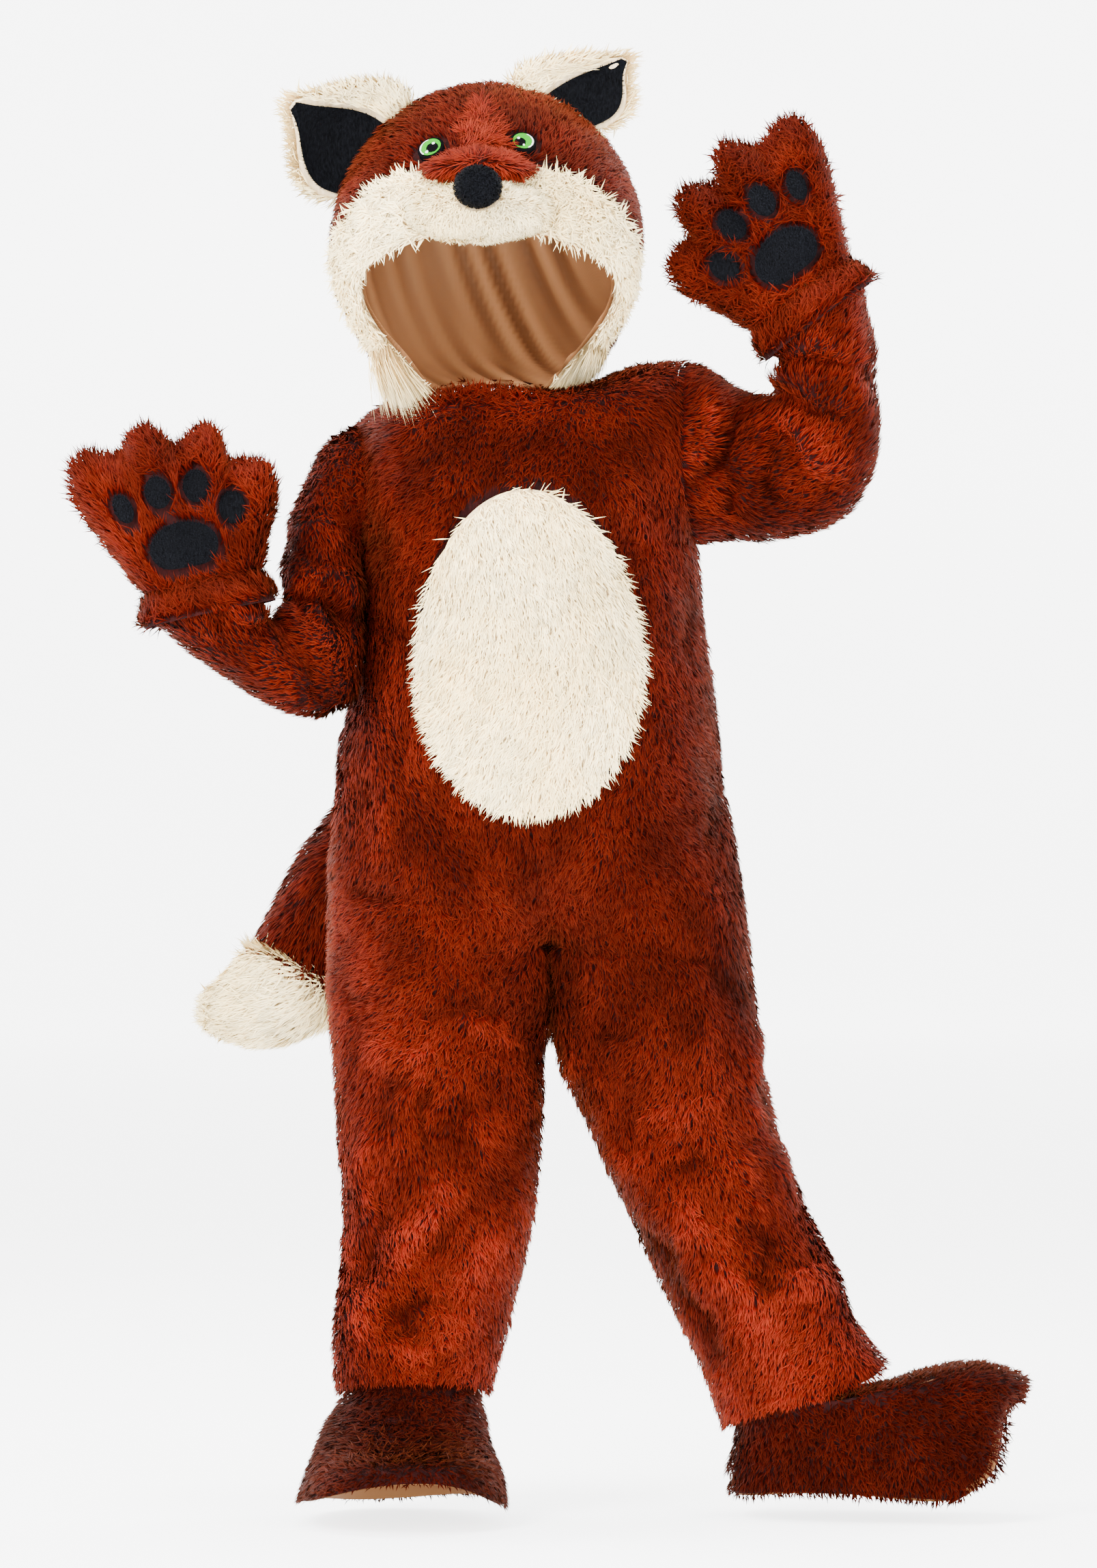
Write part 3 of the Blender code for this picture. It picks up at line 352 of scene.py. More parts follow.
def folds(points, table):
    """Soft troughs and ridges along lines given by x and z of both ends, width and depth."""
    shift = np.zeros(len(points))
    flat = points[:, [0, 2]] / MM + (0, HOLD_HEIGHT)
    for x0, z0, x1, z1, width, depth in table:
        depth *= CREASE_GAIN
        start = np.array((x0, z0), float)
        line = np.array((x1, z1), float) - start
        along = np.clip(((flat - start) @ line) / (line @ line), 0, 1)
        bend = 5 * np.sin(along * 7 + x0)
        side = (flat - start) @ np.array((-line[1], line[0])) / np.linalg.norm(line) - bend
        over = np.linalg.norm(flat - start - along[:, None] * line, axis=1)
        away = np.where((along > 0) & (along < 1), np.abs(side), over)
        fade = np.sin(np.pi * np.clip(along * 0.96 + 0.02, 0, 1)) ** 0.5
        shift += depth * fade * np.exp(-((away / width) ** 2))
    return shift


def ripple(points):
    """Slight unevenness of a worn cloth in mm."""
    return 1.1 * np.clip(swell(points, 0.020, 71)[:, 0], -1.2, 1.2)


# Where cloth touches cloth: its x, half width of what moves, fade, and its z range with fades.
TOUCHES = ((51, 7, 9, (372, 404, 470, 478)), (-107, 7, 6, (700, 722, 806, 826)))


def close_touches(mesh):
    """Bring both legs together below the fork, and the bent arm to the side of the body."""
    points = points_of(mesh)
    heights = points[:, 2] / MM + HOLD_HEIGHT
    for x, half, fade, span in TOUCHES:
        level = np.interp(heights, span, (0.0, 0.86, 0.86, 0.0))
        away = x * MM - points[:, 0]
        near = np.exp(-(np.maximum(np.abs(away) / MM - half, 0) / fade) ** 2)
        points[:, 0] += away * level * near
    move_points(mesh, points)


def swell(points, size, seed):
    """A smooth uneven field of three numbers, from a few sines of random directions."""
    rng = np.random.default_rng(seed)
    total = np.zeros(points.shape)
    for _ in range(5):
        wave = rng.normal(size=3) / size
        total += np.sin(points @ wave + rng.uniform(0, 6.28))[:, None] * rng.normal(size=3)
    return total / 2.2


# Nap: which way the pile lies. Paths run from the body outwards.

ARM_PATHS = {
    "left": ((165, -5, 880), (228, -20, 862), (272, -36, 880), (276, -48, 925), (270, -54, 985),
             (222, -56, 1090)),
    "right": ((-116, -5, 850), (-138, -30, 760), (-152, -70, 702), (-200, -98, 716),
              (-231, -112, 768), (-246, -112, 880)),
}
TAIL_PATH = ((42, 124, 604), (20, 170, 611), (-56, 186, 585), (-126, 160, 510), (-163, 140, 441),
             (-204, 129, 420), (-250, 124, 420))


def along_path(path):
    """A nap that follows the nearest stretches of a path."""
    corners = np.array([world(*p) for p in path])
    middles = (corners[1:] + corners[:-1]) / 2
    ways = unit(corners[1:] - corners[:-1])

    def nap(points):
        away = np.linalg.norm(points[:, None, :] - middles[None], axis=2)
        weight = 1 / (away ** 4 + 1e-7)
        return unit((weight[..., None] * ways[None]).sum(axis=1))
    return nap


def away_from(x, y, z, down=0.0):
    """A nap that points away from a place."""
    centre = world(x, y, z)

    def nap(points):
        return unit(points - centre) + np.array((0, 0, -down))
    return nap


def falling(points):
    return np.tile((0.0, 0.0, -1.0), (len(points), 1))


def body_nap(points):
    """Down the body, but brushed up and out along the neckline."""
    beside = np.linalg.norm(points[:, :2] - world(0, -10, 0)[:2], axis=1) / MM
    share = np.clip((points[:, 2] / MM + HOLD_HEIGHT - 893) / 26, 0, 1) * np.clip(2 - beside / 55, 0, 1)
    share = share[:, None]
    return falling(points) * (1 - share) + np.array((0.0, -0.25, 1.0)) * share


# Painted light and shade on the suit's pile, for how bright it reads from the way it lies under the
# light: height above the floor, then brightness at the wearer's right side, over the belly or inner
# legs, and at the wearer's left side.
SUIT_PAINTED_SHADE = ((90, 0.58, 0.56, 0.68), (140, 0.58, 0.54, 0.68), (300, 0.50, 0.42, 0.47),
              (430, 0.48, 0.34, 0.22), (560, 0.40, 0.34, 0.24), (700, 0.55, 0.33, 0.36),
              (820, 0.42, 0.25, 0.36), (890, 0.30, 0.21, 0.32), (912, 0.34, 0.48, 0.40),
              (960, 0.36, 0.64, 0.46))
SHADE_PLACES = (-110, 40, 170)


def suit_painted_shade(points):
    """Painted light and shade of the suit, between the table's rows and its three places."""
    heights = points[:, 2] / MM + HOLD_HEIGHT
    levels = [row[0] for row in SUIT_PAINTED_SHADE]
    over = [np.interp(heights, levels, [row[i] for row in SUIT_PAINTED_SHADE]) for i in (1, 2, 3)]
    x = points[:, 0] / MM
    to_left = np.clip((x - SHADE_PLACES[1]) / (SHADE_PLACES[2] - SHADE_PLACES[1]), 0, 1)
    to_right = np.clip((SHADE_PLACES[1] - x) / (SHADE_PLACES[1] - SHADE_PLACES[0]), 0, 1)
    return over[1] + (over[2] - over[1]) * to_left + (over[0] - over[1]) * to_right


def belly_nap(points):
    """Down the patch, and outwards over its edge."""
    from_middle = (points - world(33, 0, 715)) / MM * (1 / 96, 0, 1 / 142)
    share = np.clip((np.linalg.norm(from_middle, axis=1) - 0.78) / 0.2, 0, 1)[:, None] * 0.48
    return falling(points) * (1 - share) + unit(from_middle) * share


def steady(level):
    """A level of painted light and shade that is the same all over a piece."""
    def shade(points):
        return np.full(len(points), level)
    return shade


# Brightness levels by piece, carried as painted light and shade; the shoe covers' low level is painted
# shade.
PALE, LIVELY, EVEN, COVER_PAINTED_SHADE = (steady(level) for level in (1.0, 0.62, 0.37, 0.17))


def hood_nap(points):
    """Up and outwards from the bridge in front, down towards the nape behind."""
    fan = unit(points - world(-9, -160, 1122))
    share = np.clip((points[:, 1] / MM + 60) / 120, 0, 1)[:, None]
    return fan * (1 - share) + np.array((0, 0.1, -1.0)) * share


def clear_of_eyes(points):
    """The trim without the narrow stretch that the bridge and the eyes leave free."""
    x, z = points[:, 0] / MM, points[:, 2] / MM + HOLD_HEIGHT
    return (z < 1099) | (np.abs(x + 8) > 62)


NECK_MIDDLE = world(0, -40, 1000)


def trim_nap(points):
    """Along the band, from the muzzle round and down to its ends, with a little outward."""
    out = unit((points - NECK_MIDDLE) * (1, 0, 1))
    way = np.where(points[:, :1] > world(-7, 0, 0)[0], 1.0, -1.0)
    along = np.stack((out[:, 2], np.zeros(len(points)), -out[:, 0]), axis=1) * way
    return along + out * 0.28 + np.array((0, -0.15, 0))


# Pile.

def clump_shift(roots, size, seed):
    """Where each root's lock gathers and a random number for the lock, from a jittered grid."""
    rng = np.random.default_rng(seed)
    table = rng.random((8192, 4))
    cell = np.floor(roots / size).astype(np.int64)
    key = (cell[:, 0] * 73856093 ^ cell[:, 1] * 19349663 ^ cell[:, 2] * 83492791) % 8192
    chosen = table[key]
    return (cell + 0.15 + 0.7 * chosen[:, :3]) * size - roots, chosen[:, 3]


def clear_of(covers, *places):
    """Which strands have their root, middle and tip clear of the pieces that lie over them."""
    kept = np.ones(len(places[0]), bool)
    for points, reach in covers:
        tree = kdtree.KDTree(len(points))
        for index, point in enumerate(points):
            tree.insert(point, index)
        tree.balance()
        low, high = points.min(axis=0) - reach, points.max(axis=0) + reach
        for place in places:
            for i in np.nonzero(kept & np.all((place > low) & (place < high), axis=1))[0]:
                kept[i] = tree.find(place[i])[2] > reach
    return kept


def scatter(mesh, count, rng):
    """Places spread evenly over a skin, with their normals and the height of their creases in mm."""
    points, normals, corners = points_of(mesh), normals_of(mesh), triangles_of(mesh)
    a, b, c = (points[corners[:, i]] for i in range(3))
    area = np.linalg.norm(np.cross(b - a, c - a), axis=1)
    steps = (np.arange(count) + rng.random(count)) / count
    chosen = np.searchsorted(np.cumsum(area) / area.sum(), steps)
    chosen = np.minimum(chosen, len(area) - 1)
    s, t = rng.random(count), rng.random(count)
    s, t = np.where(s + t > 1, 1 - s, s)[:, None], np.where(s + t > 1, 1 - t, t)[:, None]
    picked = corners[chosen]
    roots = points[picked[:, 0]] * (1 - s - t) + points[picked[:, 1]] * s + points[picked[:, 2]] * t
    up = unit(normals[picked[:, 0]] * (1 - s - t) + normals[picked[:, 1]] * s
              + normals[picked[:, 2]] * t)
    relief = np.zeros(len(points), np.float32)
    mesh.attributes["relief"].data.foreach_get("value", relief)
    return roots, up, ((relief - 0.5) * RELIEF_RANGE)[picked[:, 0]]


def strand_mesh(name, strand, colour, lean):
    """Two triangles a strand from its root, the two sides of its middle and its end."""
    count = len(strand)
    first = (np.arange(count) * 4)[:, None, None]
    faces = (np.array(((0, 1, 2), (1, 3, 2)))[None] + first).reshape(-1, 3)
    made = bpy.data.meshes.new(name)
    made.vertices.add(count * 4)
    made.vertices.foreach_set("co", strand.astype(np.float32).ravel())
    made.loops.add(len(faces) * 3)
    made.loops.foreach_set("vertex_index", faces.astype(np.int32).ravel())
    made.polygons.add(len(faces))
    made.polygons.foreach_set("loop_start", np.arange(len(faces), dtype=np.int32) * 3)
    made.update(calc_edges=True)
    shade = made.attributes.new("pile", "FLOAT_COLOR", "POINT")
    shade.data.foreach_set("color", colour.ravel())
    made.polygons.foreach_set("use_smooth", np.ones(len(faces), bool))
    made.normals_split_custom_set_from_vertices(lean.reshape(-1, 3))
    return made


def pile(name, mesh, count, look, seed, covers=()):
    """A joined mesh of curved strands standing on a skin, none under the pieces that cover it."""
    rng = np.random.default_rng(seed)
    roots, up, relief = scatter(mesh, count, rng)
    if look["region"] is not None:
        kept = look["region"](roots)
        roots, up, relief = roots[kept], up[kept], relief[kept]
        count = len(roots)
    lie = look["nap"](roots) + swell(roots, look["swirl_size"] * MM, seed) * look["swirl"]
    lie += rng.normal(size=(count, 3)) * look["stray"]
    if not look["hangs"]:
        lie = lie - up * np.sum(lie * up, axis=1, keepdims=True)
    lie = unit(lie)
    crush = swell(roots * (1.35, 1.0, 0.62), look["crush_size"] * MM, 55)
    lie = unit(lie + np.cross(up, lie) * crush[:, 1:2] * look["crush"] * 1.5)
    length = look["length"] * MM * (0.7 + 0.6 * rng.random((count, 1)))
    length *= hem_share(roots)[:, None]
    rise = look["rise"] * MM * (0.75 + 0.5 * rng.random((count, 1)))
    pull, tone = clump_shift(roots, look["lock"] * MM, seed + 1)
    pull -= up * np.sum(pull * up, axis=1, keepdims=True)
    roll = rng.uniform(-0.8, 0.8, (count, 1))
    side = unit(np.cross(up, lie)) * np.cos(roll) + up * np.sin(roll)
    half = look["width"] * MM / 2 * (0.7 + 0.6 * rng.random((count, 1)))
    rise = rise * (0.72 + 0.56 * tone[:, None])
    base = roots - up * ROOT_DEPTH
    middle = roots + up * rise * 0.66 + lie * length * 0.38 + pull * look["gather"] * 0.35
    end = roots + up * rise + lie * length + pull * look["gather"]
    kept = clear_of(covers, roots, middle, end)
    roots, up, lie, side, half = roots[kept], up[kept], lie[kept], side[kept], half[kept]
    base, middle, end, tone, relief = base[kept], middle[kept], end[kept], tone[kept], relief[kept]
    crush = crush[kept]
    count = len(roots)
    for part in (base, middle, end):
        part[:, 2] = np.maximum(part[:, 2], FLOOR_Z + FLOOR_GAP)
    strand = np.stack((base, middle - side * half, middle + side * half, end), axis=1)
    colour = np.ones((count, 4, 4), np.float32)
    # Red runs from root to tip; the material darkens the roots as painted shade between the strands.
    colour[..., 0] = np.array((0.0, 0.55, 0.55, 1.0))
    uneven = 0.5 + 0.5 * np.clip(swell(roots, 0.05, seed + 2)[:, 0], -1, 1)
    blend = np.clip(0.42 * tone + 0.33 * uneven + 0.25 * rng.random(count), 0, 1)
    colour[..., 1] = blend[:, None]
    # Blue is painted light and shade: the piece's level, brighter and darker patches where the pile is
    # crushed, and creases darker in their troughs and lighter on their ridges.
    lit = look["shade"](roots) * (1 + look["crush"] * np.tanh(1.6 * crush[:, 0]))
    colour[..., 2] = np.clip(lit * (1 + np.clip(0.13 * relief, -0.55, 0.65)), 0, 1)[:, None]
    lean = np.stack((up, unit(up + lie * 0.1 - side * 0.4), unit(up + lie * 0.1 + side * 0.4),
                     unit(up * 0.8 + lie * 0.55)), axis=1)
    return object_from(name, strand_mesh(name, strand, colour, lean), look["material"])


def look(material, length, rise, width, nap, weight=1.0, stray=0.35, swirl=0.4, swirl_size=55.0,
         lock=7.0, gather=0.28, region=None, shade=None, crush=None, crush_size=17.0, hangs=False):
    """How a pile stands: lengths, widths and places in mm, the rest as shares."""
    rust = material is RUST
    shade = shade or (EVEN if rust else PALE)
    crush = crush if crush is not None else (0.2 if rust else 0.06)
    return {"material": material, "length": length, "rise": rise, "width": width, "nap": nap,
            "weight": weight, "stray": stray, "swirl": swirl, "swirl_size": swirl_size,
            "lock": lock, "gather": gather, "region": region, "shade": shade,
            "crush": crush, "crush_size": crush_size, "hangs": hangs}


# Free lower edges by the floor: pile this near to them is shorter. Filled in when skins are made.
HEM_POINTS = []


def hem_share(roots):
    """How much of its length a strand keeps near a free hem."""
    low = np.nonzero(roots[:, 2] < FLOOR_Z + 0.2)[0]
    share = np.ones(len(roots))
    if len(low) and HEM_POINTS:
        tree = kdtree.KDTree(len(HEM_POINTS))
        for index, point in enumerate(HEM_POINTS):
            tree.insert(point, index)
        tree.balance()
        for i in low:
            share[i] = 0.42 + 0.58 * min(1.0, tree.find(roots[i])[2] / 0.014)
    return share


# Finer creases than the CAD's: x and z of both ends, width, depth (minus is a trough).
FINE_FRONT = (
    (-112, 520, -60, 512, 6, -3), (-116, 498, -70, 500, 6, 3), (-118, 436, -84, 430, 6, -3),
    (-100, 384, -30, 392, 7, 3), (-96, 350, -40, 362, 7, -3), (-116, 300, -70, 318, 7, 3),
    (-100, 226, -40, 238, 6, 3), (-90, 176, -20, 186, 6, -3), (-100, 142, -30, 146, 6, 3),
    (56, 392, 80, 346, 6, 3), (120, 330, 196, 356, 7, 3), (150, 300, 222, 322, 7, -3),
    (160, 244, 240, 262, 6, 3), (190, 206, 270, 214, 6, -3), (200, 176, 290, 180, 6, 3),
    (150, 470, 206, 440, 7, -3), (164, 520, 200, 500, 7, 3), (-90, 760, -60, 700, 9, -3),
    (150, 780, 168, 700, 9, -3), (20, 560, 70, 540, 9, -2), (-40, 860, 60, 846, 10, 2),
    (-38, 414, 28, 404, 7, 4), (-60, 424, 20, 420, 6, -3), (-86, 396, -67, 368, 9, 3),
    (8, 334, -12, 291, 9, 3), (-12, 291, -43, 263, 9, 4), (-43, 263, -81, 205, 10, 5),
    (-81, 205, -119, 162, 10, 5), (-88, 267, -98, 196, 8, -4), (5, 263, -14, 196, 8, 4),
    (-14, 196, -33, 138, 8, 4), (-22, 252, -50, 224, 7, -4), (-60, 186, -84, 150, 8, -4),
    (-62, 372, -70, 330, 7, 3), (-50, 366, -58, 318, 6, -4), (-34, 330, -6, 350, 7, -3),
    (-100, 330, -104, 262, 7, 3), (-116, 260, -112, 190, 7, 3),
    (153, 316, 196, 314, 7, 4), (150, 304, 200, 300, 6, -4), (200, 300, 210, 276, 7, 4),
    (215, 406, 217, 348, 7, 4), (217, 348, 234, 310, 7, 4), (234, 310, 243, 267, 7, 4),
    (222, 382, 229, 300, 5, -5), (124, 253, 162, 195, 9, -5), (162, 195, 200, 129, 9, -5),
    (152, 262, 192, 222, 8, 4), (186, 218, 226, 170, 8, 4), (212, 250, 236, 200, 8, -4),
    (96, 310, 130, 290, 8, 3), (70, 390, 84, 366, 7, 4), (90, 420, 120, 400, 8, -3),
    (170, 430, 180, 360, 8, 3), (230, 206, 280, 190, 7, 4), (236, 186, 290, 172, 7, -4),
    (100, 860, 140, 800, 8, 3), (-96, 640, -80, 560, 9, 3), (174, 640, 186, 560, 9, -3),
)
FINE_BACK = (
    (-110, 520, -60, 508, 6, -3), (-100, 470, -40, 476, 7, 3), (90, 476, 190, 462, 7, 3),
    (-110, 384, -30, 396, 7, -3), (80, 380, 200, 396, 7, -3), (-116, 300, -50, 288, 7, 3),
    (110, 310, 210, 326, 7, 3), (-100, 228, -20, 212, 6, -3), (140, 246, 240, 250, 6, -3),
    (-90, 142, 0, 150, 6, 3), (176, 192, 280, 190, 6, 3), (-70, 760, 40, 772, 9, -3),
    (20, 800, 120, 786, 9, 3), (-80, 600, 30, 590, 9, -3), (60, 600, 170, 612, 9, 3),
    (-60, 860, 60, 868, 9, -2),
)
FINE_SLEEVE = (
    (242, 908, 300, 896, 5, -3), (244, 960, 306, 956, 5, 3), (214, 918, 230, 850, 6, 3),
    (190, 900, 196, 840, 6, -3), (-164, 800, -116, 772, 6, -3), (-168, 744, -120, 716, 6, 3),
    (-160, 830, -120, 802, 7, 3), (-206, 752, -214, 712, 5, -3), (-184, 744, -172, 690, 5, 3),
    (164, 838, 209, 916, 7, -5), (171, 861, 185, 926, 6, 5), (232, 907, 283, 861, 7, 7),
    (213, 889, 237, 833, 7, -5), (190, 851, 208, 819, 6, -4), (255, 945, 311, 916, 6, 4),
    (-165, 762, -112, 749, 7, -6), (-226, 740, -178, 745, 7, 6), (-160, 784, -112, 766, 6, 5),
    (-151, 705, -125, 670, 7, -4),
)

ARM = {side: along_path(path) for side, path in ARM_PATHS.items()}
TAIL_NAP = along_path(TAIL_PATH)

# For each node: group whose borders share their normals, wall, inset and levels of its skin,
# creases, backing and pile.
PIECES = {}
for side in ("right", "left"):
    for facing, table in (("front", FINE_FRONT), ("back", FINE_BACK)):
        # The suit's pile takes painted light and shade from its table.
        PIECES[f"{facing}_{side}"] = {
            "group": "suit", "wall": 3.5, "inset": 3.0, "levels": 2, "folds": table,
            "back": RUST_BACK, "pile": look(RUST, 11.5, 5.5, 1.25 if facing == "front" else 1.9, body_nap,
                                            weight=1.5 if facing == "front" else 0.62,
                                            shade=suit_painted_shade)}
    PIECES[f"sleeve_{side}"] = {
        "group": "suit", "wall": 3.5, "inset": 3.0, "levels": 2, "folds": FINE_SLEEVE,
        "back": RUST_BACK, "pile": look(RUST, 11.5, 5.5, 1.35, ARM[side], weight=1.2)}
    PIECES[f"hood_{side}"] = {
        "group": "hood", "wall": 3.5, "inset": 2.2, "levels": 2, "folds": (),
        "back": RUST_BACK, "pile": look(RUST, 11, 5.5, 1.45, hood_nap, weight=1.2)}
    PIECES[f"hood_trim_{side}"] = {
        "group": "hood", "wall": 3.5, "inset": 2.2, "levels": 3, "folds": (),
        "back": CREAM_BACK, "pile": look(CREAM, 12, 7.5, 1.6, trim_nap, weight=2.2, stray=0.7,
                                         region=clear_of_eyes)}
    for name in ("mitt_palm", "mitt_back", "mitt_cuff"):
        PIECES[f"{name}_{side}"] = {
            "group": "mitt", "wall": 3.5, "inset": 2.6, "levels": 2, "folds": (),
            "back": RUST_BACK, "pile": look(RUST, 14, 6.5, 1.35, ARM[side], weight=2.0, stray=0.5)}
    PIECES[f"ear_outer_{side}"] = {
        "group": "ear", "wall": 6.0, "inset": 1.6, "levels": 2, "folds": (), "whole": True,
        "back": CREAM_BACK, "pile": look(CREAM, 14, 6.0, 1.5, away_from(-9, 0, 1100), weight=2.4,
                                         stray=0.5)}
    PIECES[f"ear_inner_{side}"] = {
        "group": "ear", "wall": 2.2, "inset": 0.6, "levels": 3, "folds": (),
        "back": BLACK_BACK, "pile": look(BLACK, 2.0, 1.0, 0.8, away_from(-9, 0, 1100), weight=1.6, lock=2.5,
                                           gather=0.0)}
    # The shoe covers' pile is darker as painted shade.
    PIECES[f"shoe_cover_{side}"] = {
        "group": f"cover_{side}", "wall": 3.5, "inset": 2.8, "levels": 2, "folds": (),
        "back": RUST_BACK, "pile": look(RUST, 11, 5.5, 1.5, falling, weight=1.1, stray=0.45,
                                        shade=COVER_PAINTED_SHADE)}
    # The linings take the darker satin as painted shade inside the covers.
    PIECES[f"shoe_cover_lining_{side}"] = {
        "group": f"lining_{side}", "wall": 1.2, "inset": 0.4, "levels": 2, "folds": (),
        "back": SATIN_PAINTED_SHADE, "pile": None, "satin": True}
    for name in ("pad_main", "pad_toe_1", "pad_toe_2", "pad_toe_3", "pad_toe_4"):
        PIECES[f"{name}_{side}"] = {
            "group": name + side, "wall": 1.8, "inset": 0.4, "levels": 3, "folds": (),
            "back": BLACK_BACK, "pile": look(BLACK, 2.2, 1.2, 0.7, ARM[side], weight=3.4, lock=2.5,
                                             gather=0.0, swirl=0.2)}
PIECES["hood_lining"] = {"group": "lining", "wall": 1.2, "inset": 2.2, "levels": 3, "folds": (),
                         "back": SATIN, "pile": None, "satin": True}
PIECES["belly_patch"] = {
    "group": "belly", "wall": 3.5, "inset": 2.5, "levels": 2, "folds": (), "back": CREAM_BACK,
    "pile": look(CREAM, 12, 6.0, 1.2, belly_nap, weight=2.1, stray=0.32, lock=7.0, gather=0.3)}
PIECES["muzzle"] = {
    "group": "muzzle", "wall": 6.0, "inset": 2.5, "levels": 3, "folds": (), "back": CREAM_BACK,
    "pile": look(CREAM, 7, 5.5, 1.2, away_from(-10, -180, 1104, 0.15), weight=4.5, stray=0.8)}
PIECES["muzzle_bridge"] = {
    "group": "bridge", "wall": 5.0, "inset": 2.5, "levels": 3, "folds": (), "back": RUST_BACK,
    "pile": look(RUST_LONG, 13, 6.0, 1.2, away_from(-10, -200, 1122, 0.1), weight=5.0, shade=LIVELY)}
PIECES["nose"] = {
    "group": "nose", "wall": 4.0, "inset": 1.0, "levels": 3, "folds": (), "back": BLACK_BACK,
    "pile": look(BLACK, 3.0, 1.8, 0.8, away_from(-10, -200, 1106), weight=5.0, stray=0.8,
                                     lock=2.5, gather=0.0)}
PIECES["tail"] = {
    "group": "tail", "wall": 0.0, "inset": 4.0, "levels": 2, "folds": (), "back": RUST_BACK,
    "pile": look(RUST, 15, 7.0, 1.6, TAIL_NAP)}
PIECES["tail_tip"] = {
    "group": "tail", "wall": 0.0, "inset": 4.0, "levels": 2, "folds": (), "back": CREAM_BACK,
    "pile": look(CREAM, 17, 7.0, 1.7, TAIL_NAP, weight=1.8)}


def parting(points):
    """The brushed-up tuft over the bridge of the muzzle, either side of the centre seam."""
    x, z = points[:, 0] / MM, points[:, 2] / MM + HOLD_HEIGHT
    ragged = 0.75 + 0.45 * swell(points, 0.004, 77)[:, 0]
    return (points[:, 1] < 0) & (z > 1112) & (np.abs(x + 5) < (23 - (z - 1112) * 0.42) * ragged)


def trim_end(points):
    """The last stretch of the hood's trim, where it hangs over the neckline."""
    return points[:, 2] / MM + HOLD_HEIGHT < 972


def parting_nap(points):
    """Away from the bridge, more sideways than up."""
    return unit(points - world(-7, 0, 1090)) * (2.2, 0, 1) + np.array((0, -0.3, 0.2))


def hanging_nap(points):
    """Down, a little forwards, and in towards the middle of the chest."""
    return np.stack((-np.sign(points[:, 0]) * 0.52, np.full(len(points), -0.38),
                     np.full(len(points), -1.0)), axis=1)


# A second pile on a part of a piece: strands before its region is cut out, and how they stand.
EXTRA = {}
for side in ("right", "left"):
    EXTRA[f"hood_{side}"] = (70000, look(RUST_LONG, 13, 7.0, 1.2, parting_nap, region=parting,
                                           shade=LIVELY))
    EXTRA[f"hood_trim_{side}"] = (30000, look(CREAM, 58 if side == "right" else 26, 9.0, 1.4,
                                              hanging_nap, region=trim_end, stray=0.14, swirl=0.1,
                                              hangs=True, crush=0.0))


def satin_folds(points, node):
    """Slack of the lining in mm: long soft slanting folds, uneven in width and depth."""
    drift = swell(points, 0.055, 41)
    if node != "hood_lining":
        return np.sin(points[:, 2] / 0.006 + drift[:, 0] * 2) * 0.5
    across = points[:, 0] * 0.95 + points[:, 1] * 0.45 + points[:, 2] * 0.38
    waves = np.sin(across / 0.0044 + 1.7 * drift[:, 0]) + 0.6 * np.sin(across / 0.0027 + 2.4 * drift[:, 1])
    ridge = np.tanh(1.3 * waves)
    return -ridge * np.clip(1.7 + 1.3 * drift[:, 2], 0.5, 3.2)


# The lining's lower edge is tucked down inside the back of the neck: the height where that is
# deepest, the height over which it fades, and its depth.
NECK_TUCK = (936, 25, 16)
# Points of neighbouring pieces that are this near share their normals, in metres.
JOIN_REACH = 0.0022

# What lies over the pile of a piece, and how near a strand may come to it in metres.
COVERED = {}
for side in ("right", "left"):
    eyes = (("eye_right", 0.0062), ("eye_left", 0.0062))
    COVERED[f"front_{side}"] = (("belly_patch", 0.0045),)
    COVERED[f"hood_{side}"] = (*eyes, ("muzzle_bridge", 0.0042), ("muzzle", 0.0042))
    COVERED[f"hood_trim_{side}"] = (*eyes, ("muzzle", 0.0042), ("muzzle_bridge", 0.0042))
    COVERED[f"mitt_palm_{side}"] = tuple((f"{name}_{side}", 0.0042) for name in (
        "pad_main", "pad_toe_1", "pad_toe_2", "pad_toe_3", "pad_toe_4"))
    COVERED[f"ear_outer_{side}"] = ((f"ear_inner_{side}", 0.0044),)
COVERED["muzzle"] = (("nose", 0.0034),)
COVERED["muzzle_bridge"] = (("nose", 0.0034), *eyes)


def cover_points(node, skins):
    """Points all over the face of a piece: its skin's, or a disc's for an eye."""
    if node in skins:
        return points_of(skins[node].data)
    low, high = (np.array(c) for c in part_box(node))
    centre, radius = (low + high) / 2, (high[0] - low[0]) / 2
    rows = [centre]
    for share in (0.3, 0.6, 0.85, 1.0):
        for k in range(18):
            turn = 2 * math.pi * k / 18
            rows.append(centre + np.array((math.cos(turn), 0, math.sin(turn))) * radius * share)
    return np.array(rows)


# Patches whose skin is a little smaller than its solid, since its pile reaches past its edge:
# middle x and z, then the shares kept across, above and below.
DRAWN_IN = {"belly_patch": (33, 715, 0.95, 0.93, 0.935), "muzzle": (-7, 1068, 0.95, 1.0, 0.78),
            "muzzle_bridge": (-8, 1106, 0.93, 1.0, 0.9)}


def drawn_in(node, vertex):
    """Move a point of a patch's cage towards the middle of the patch."""
    if node not in DRAWN_IN:
        return
    x, z, across, above, below = DRAWN_IN[node]
    middle = world(x, 0, z)
    vertex.co.x = middle[0] + (vertex.co.x - middle[0]) * across
    rise = vertex.co.z - middle[2]
    vertex.co.z = middle[2] + rise * (above if rise > 0 else below)


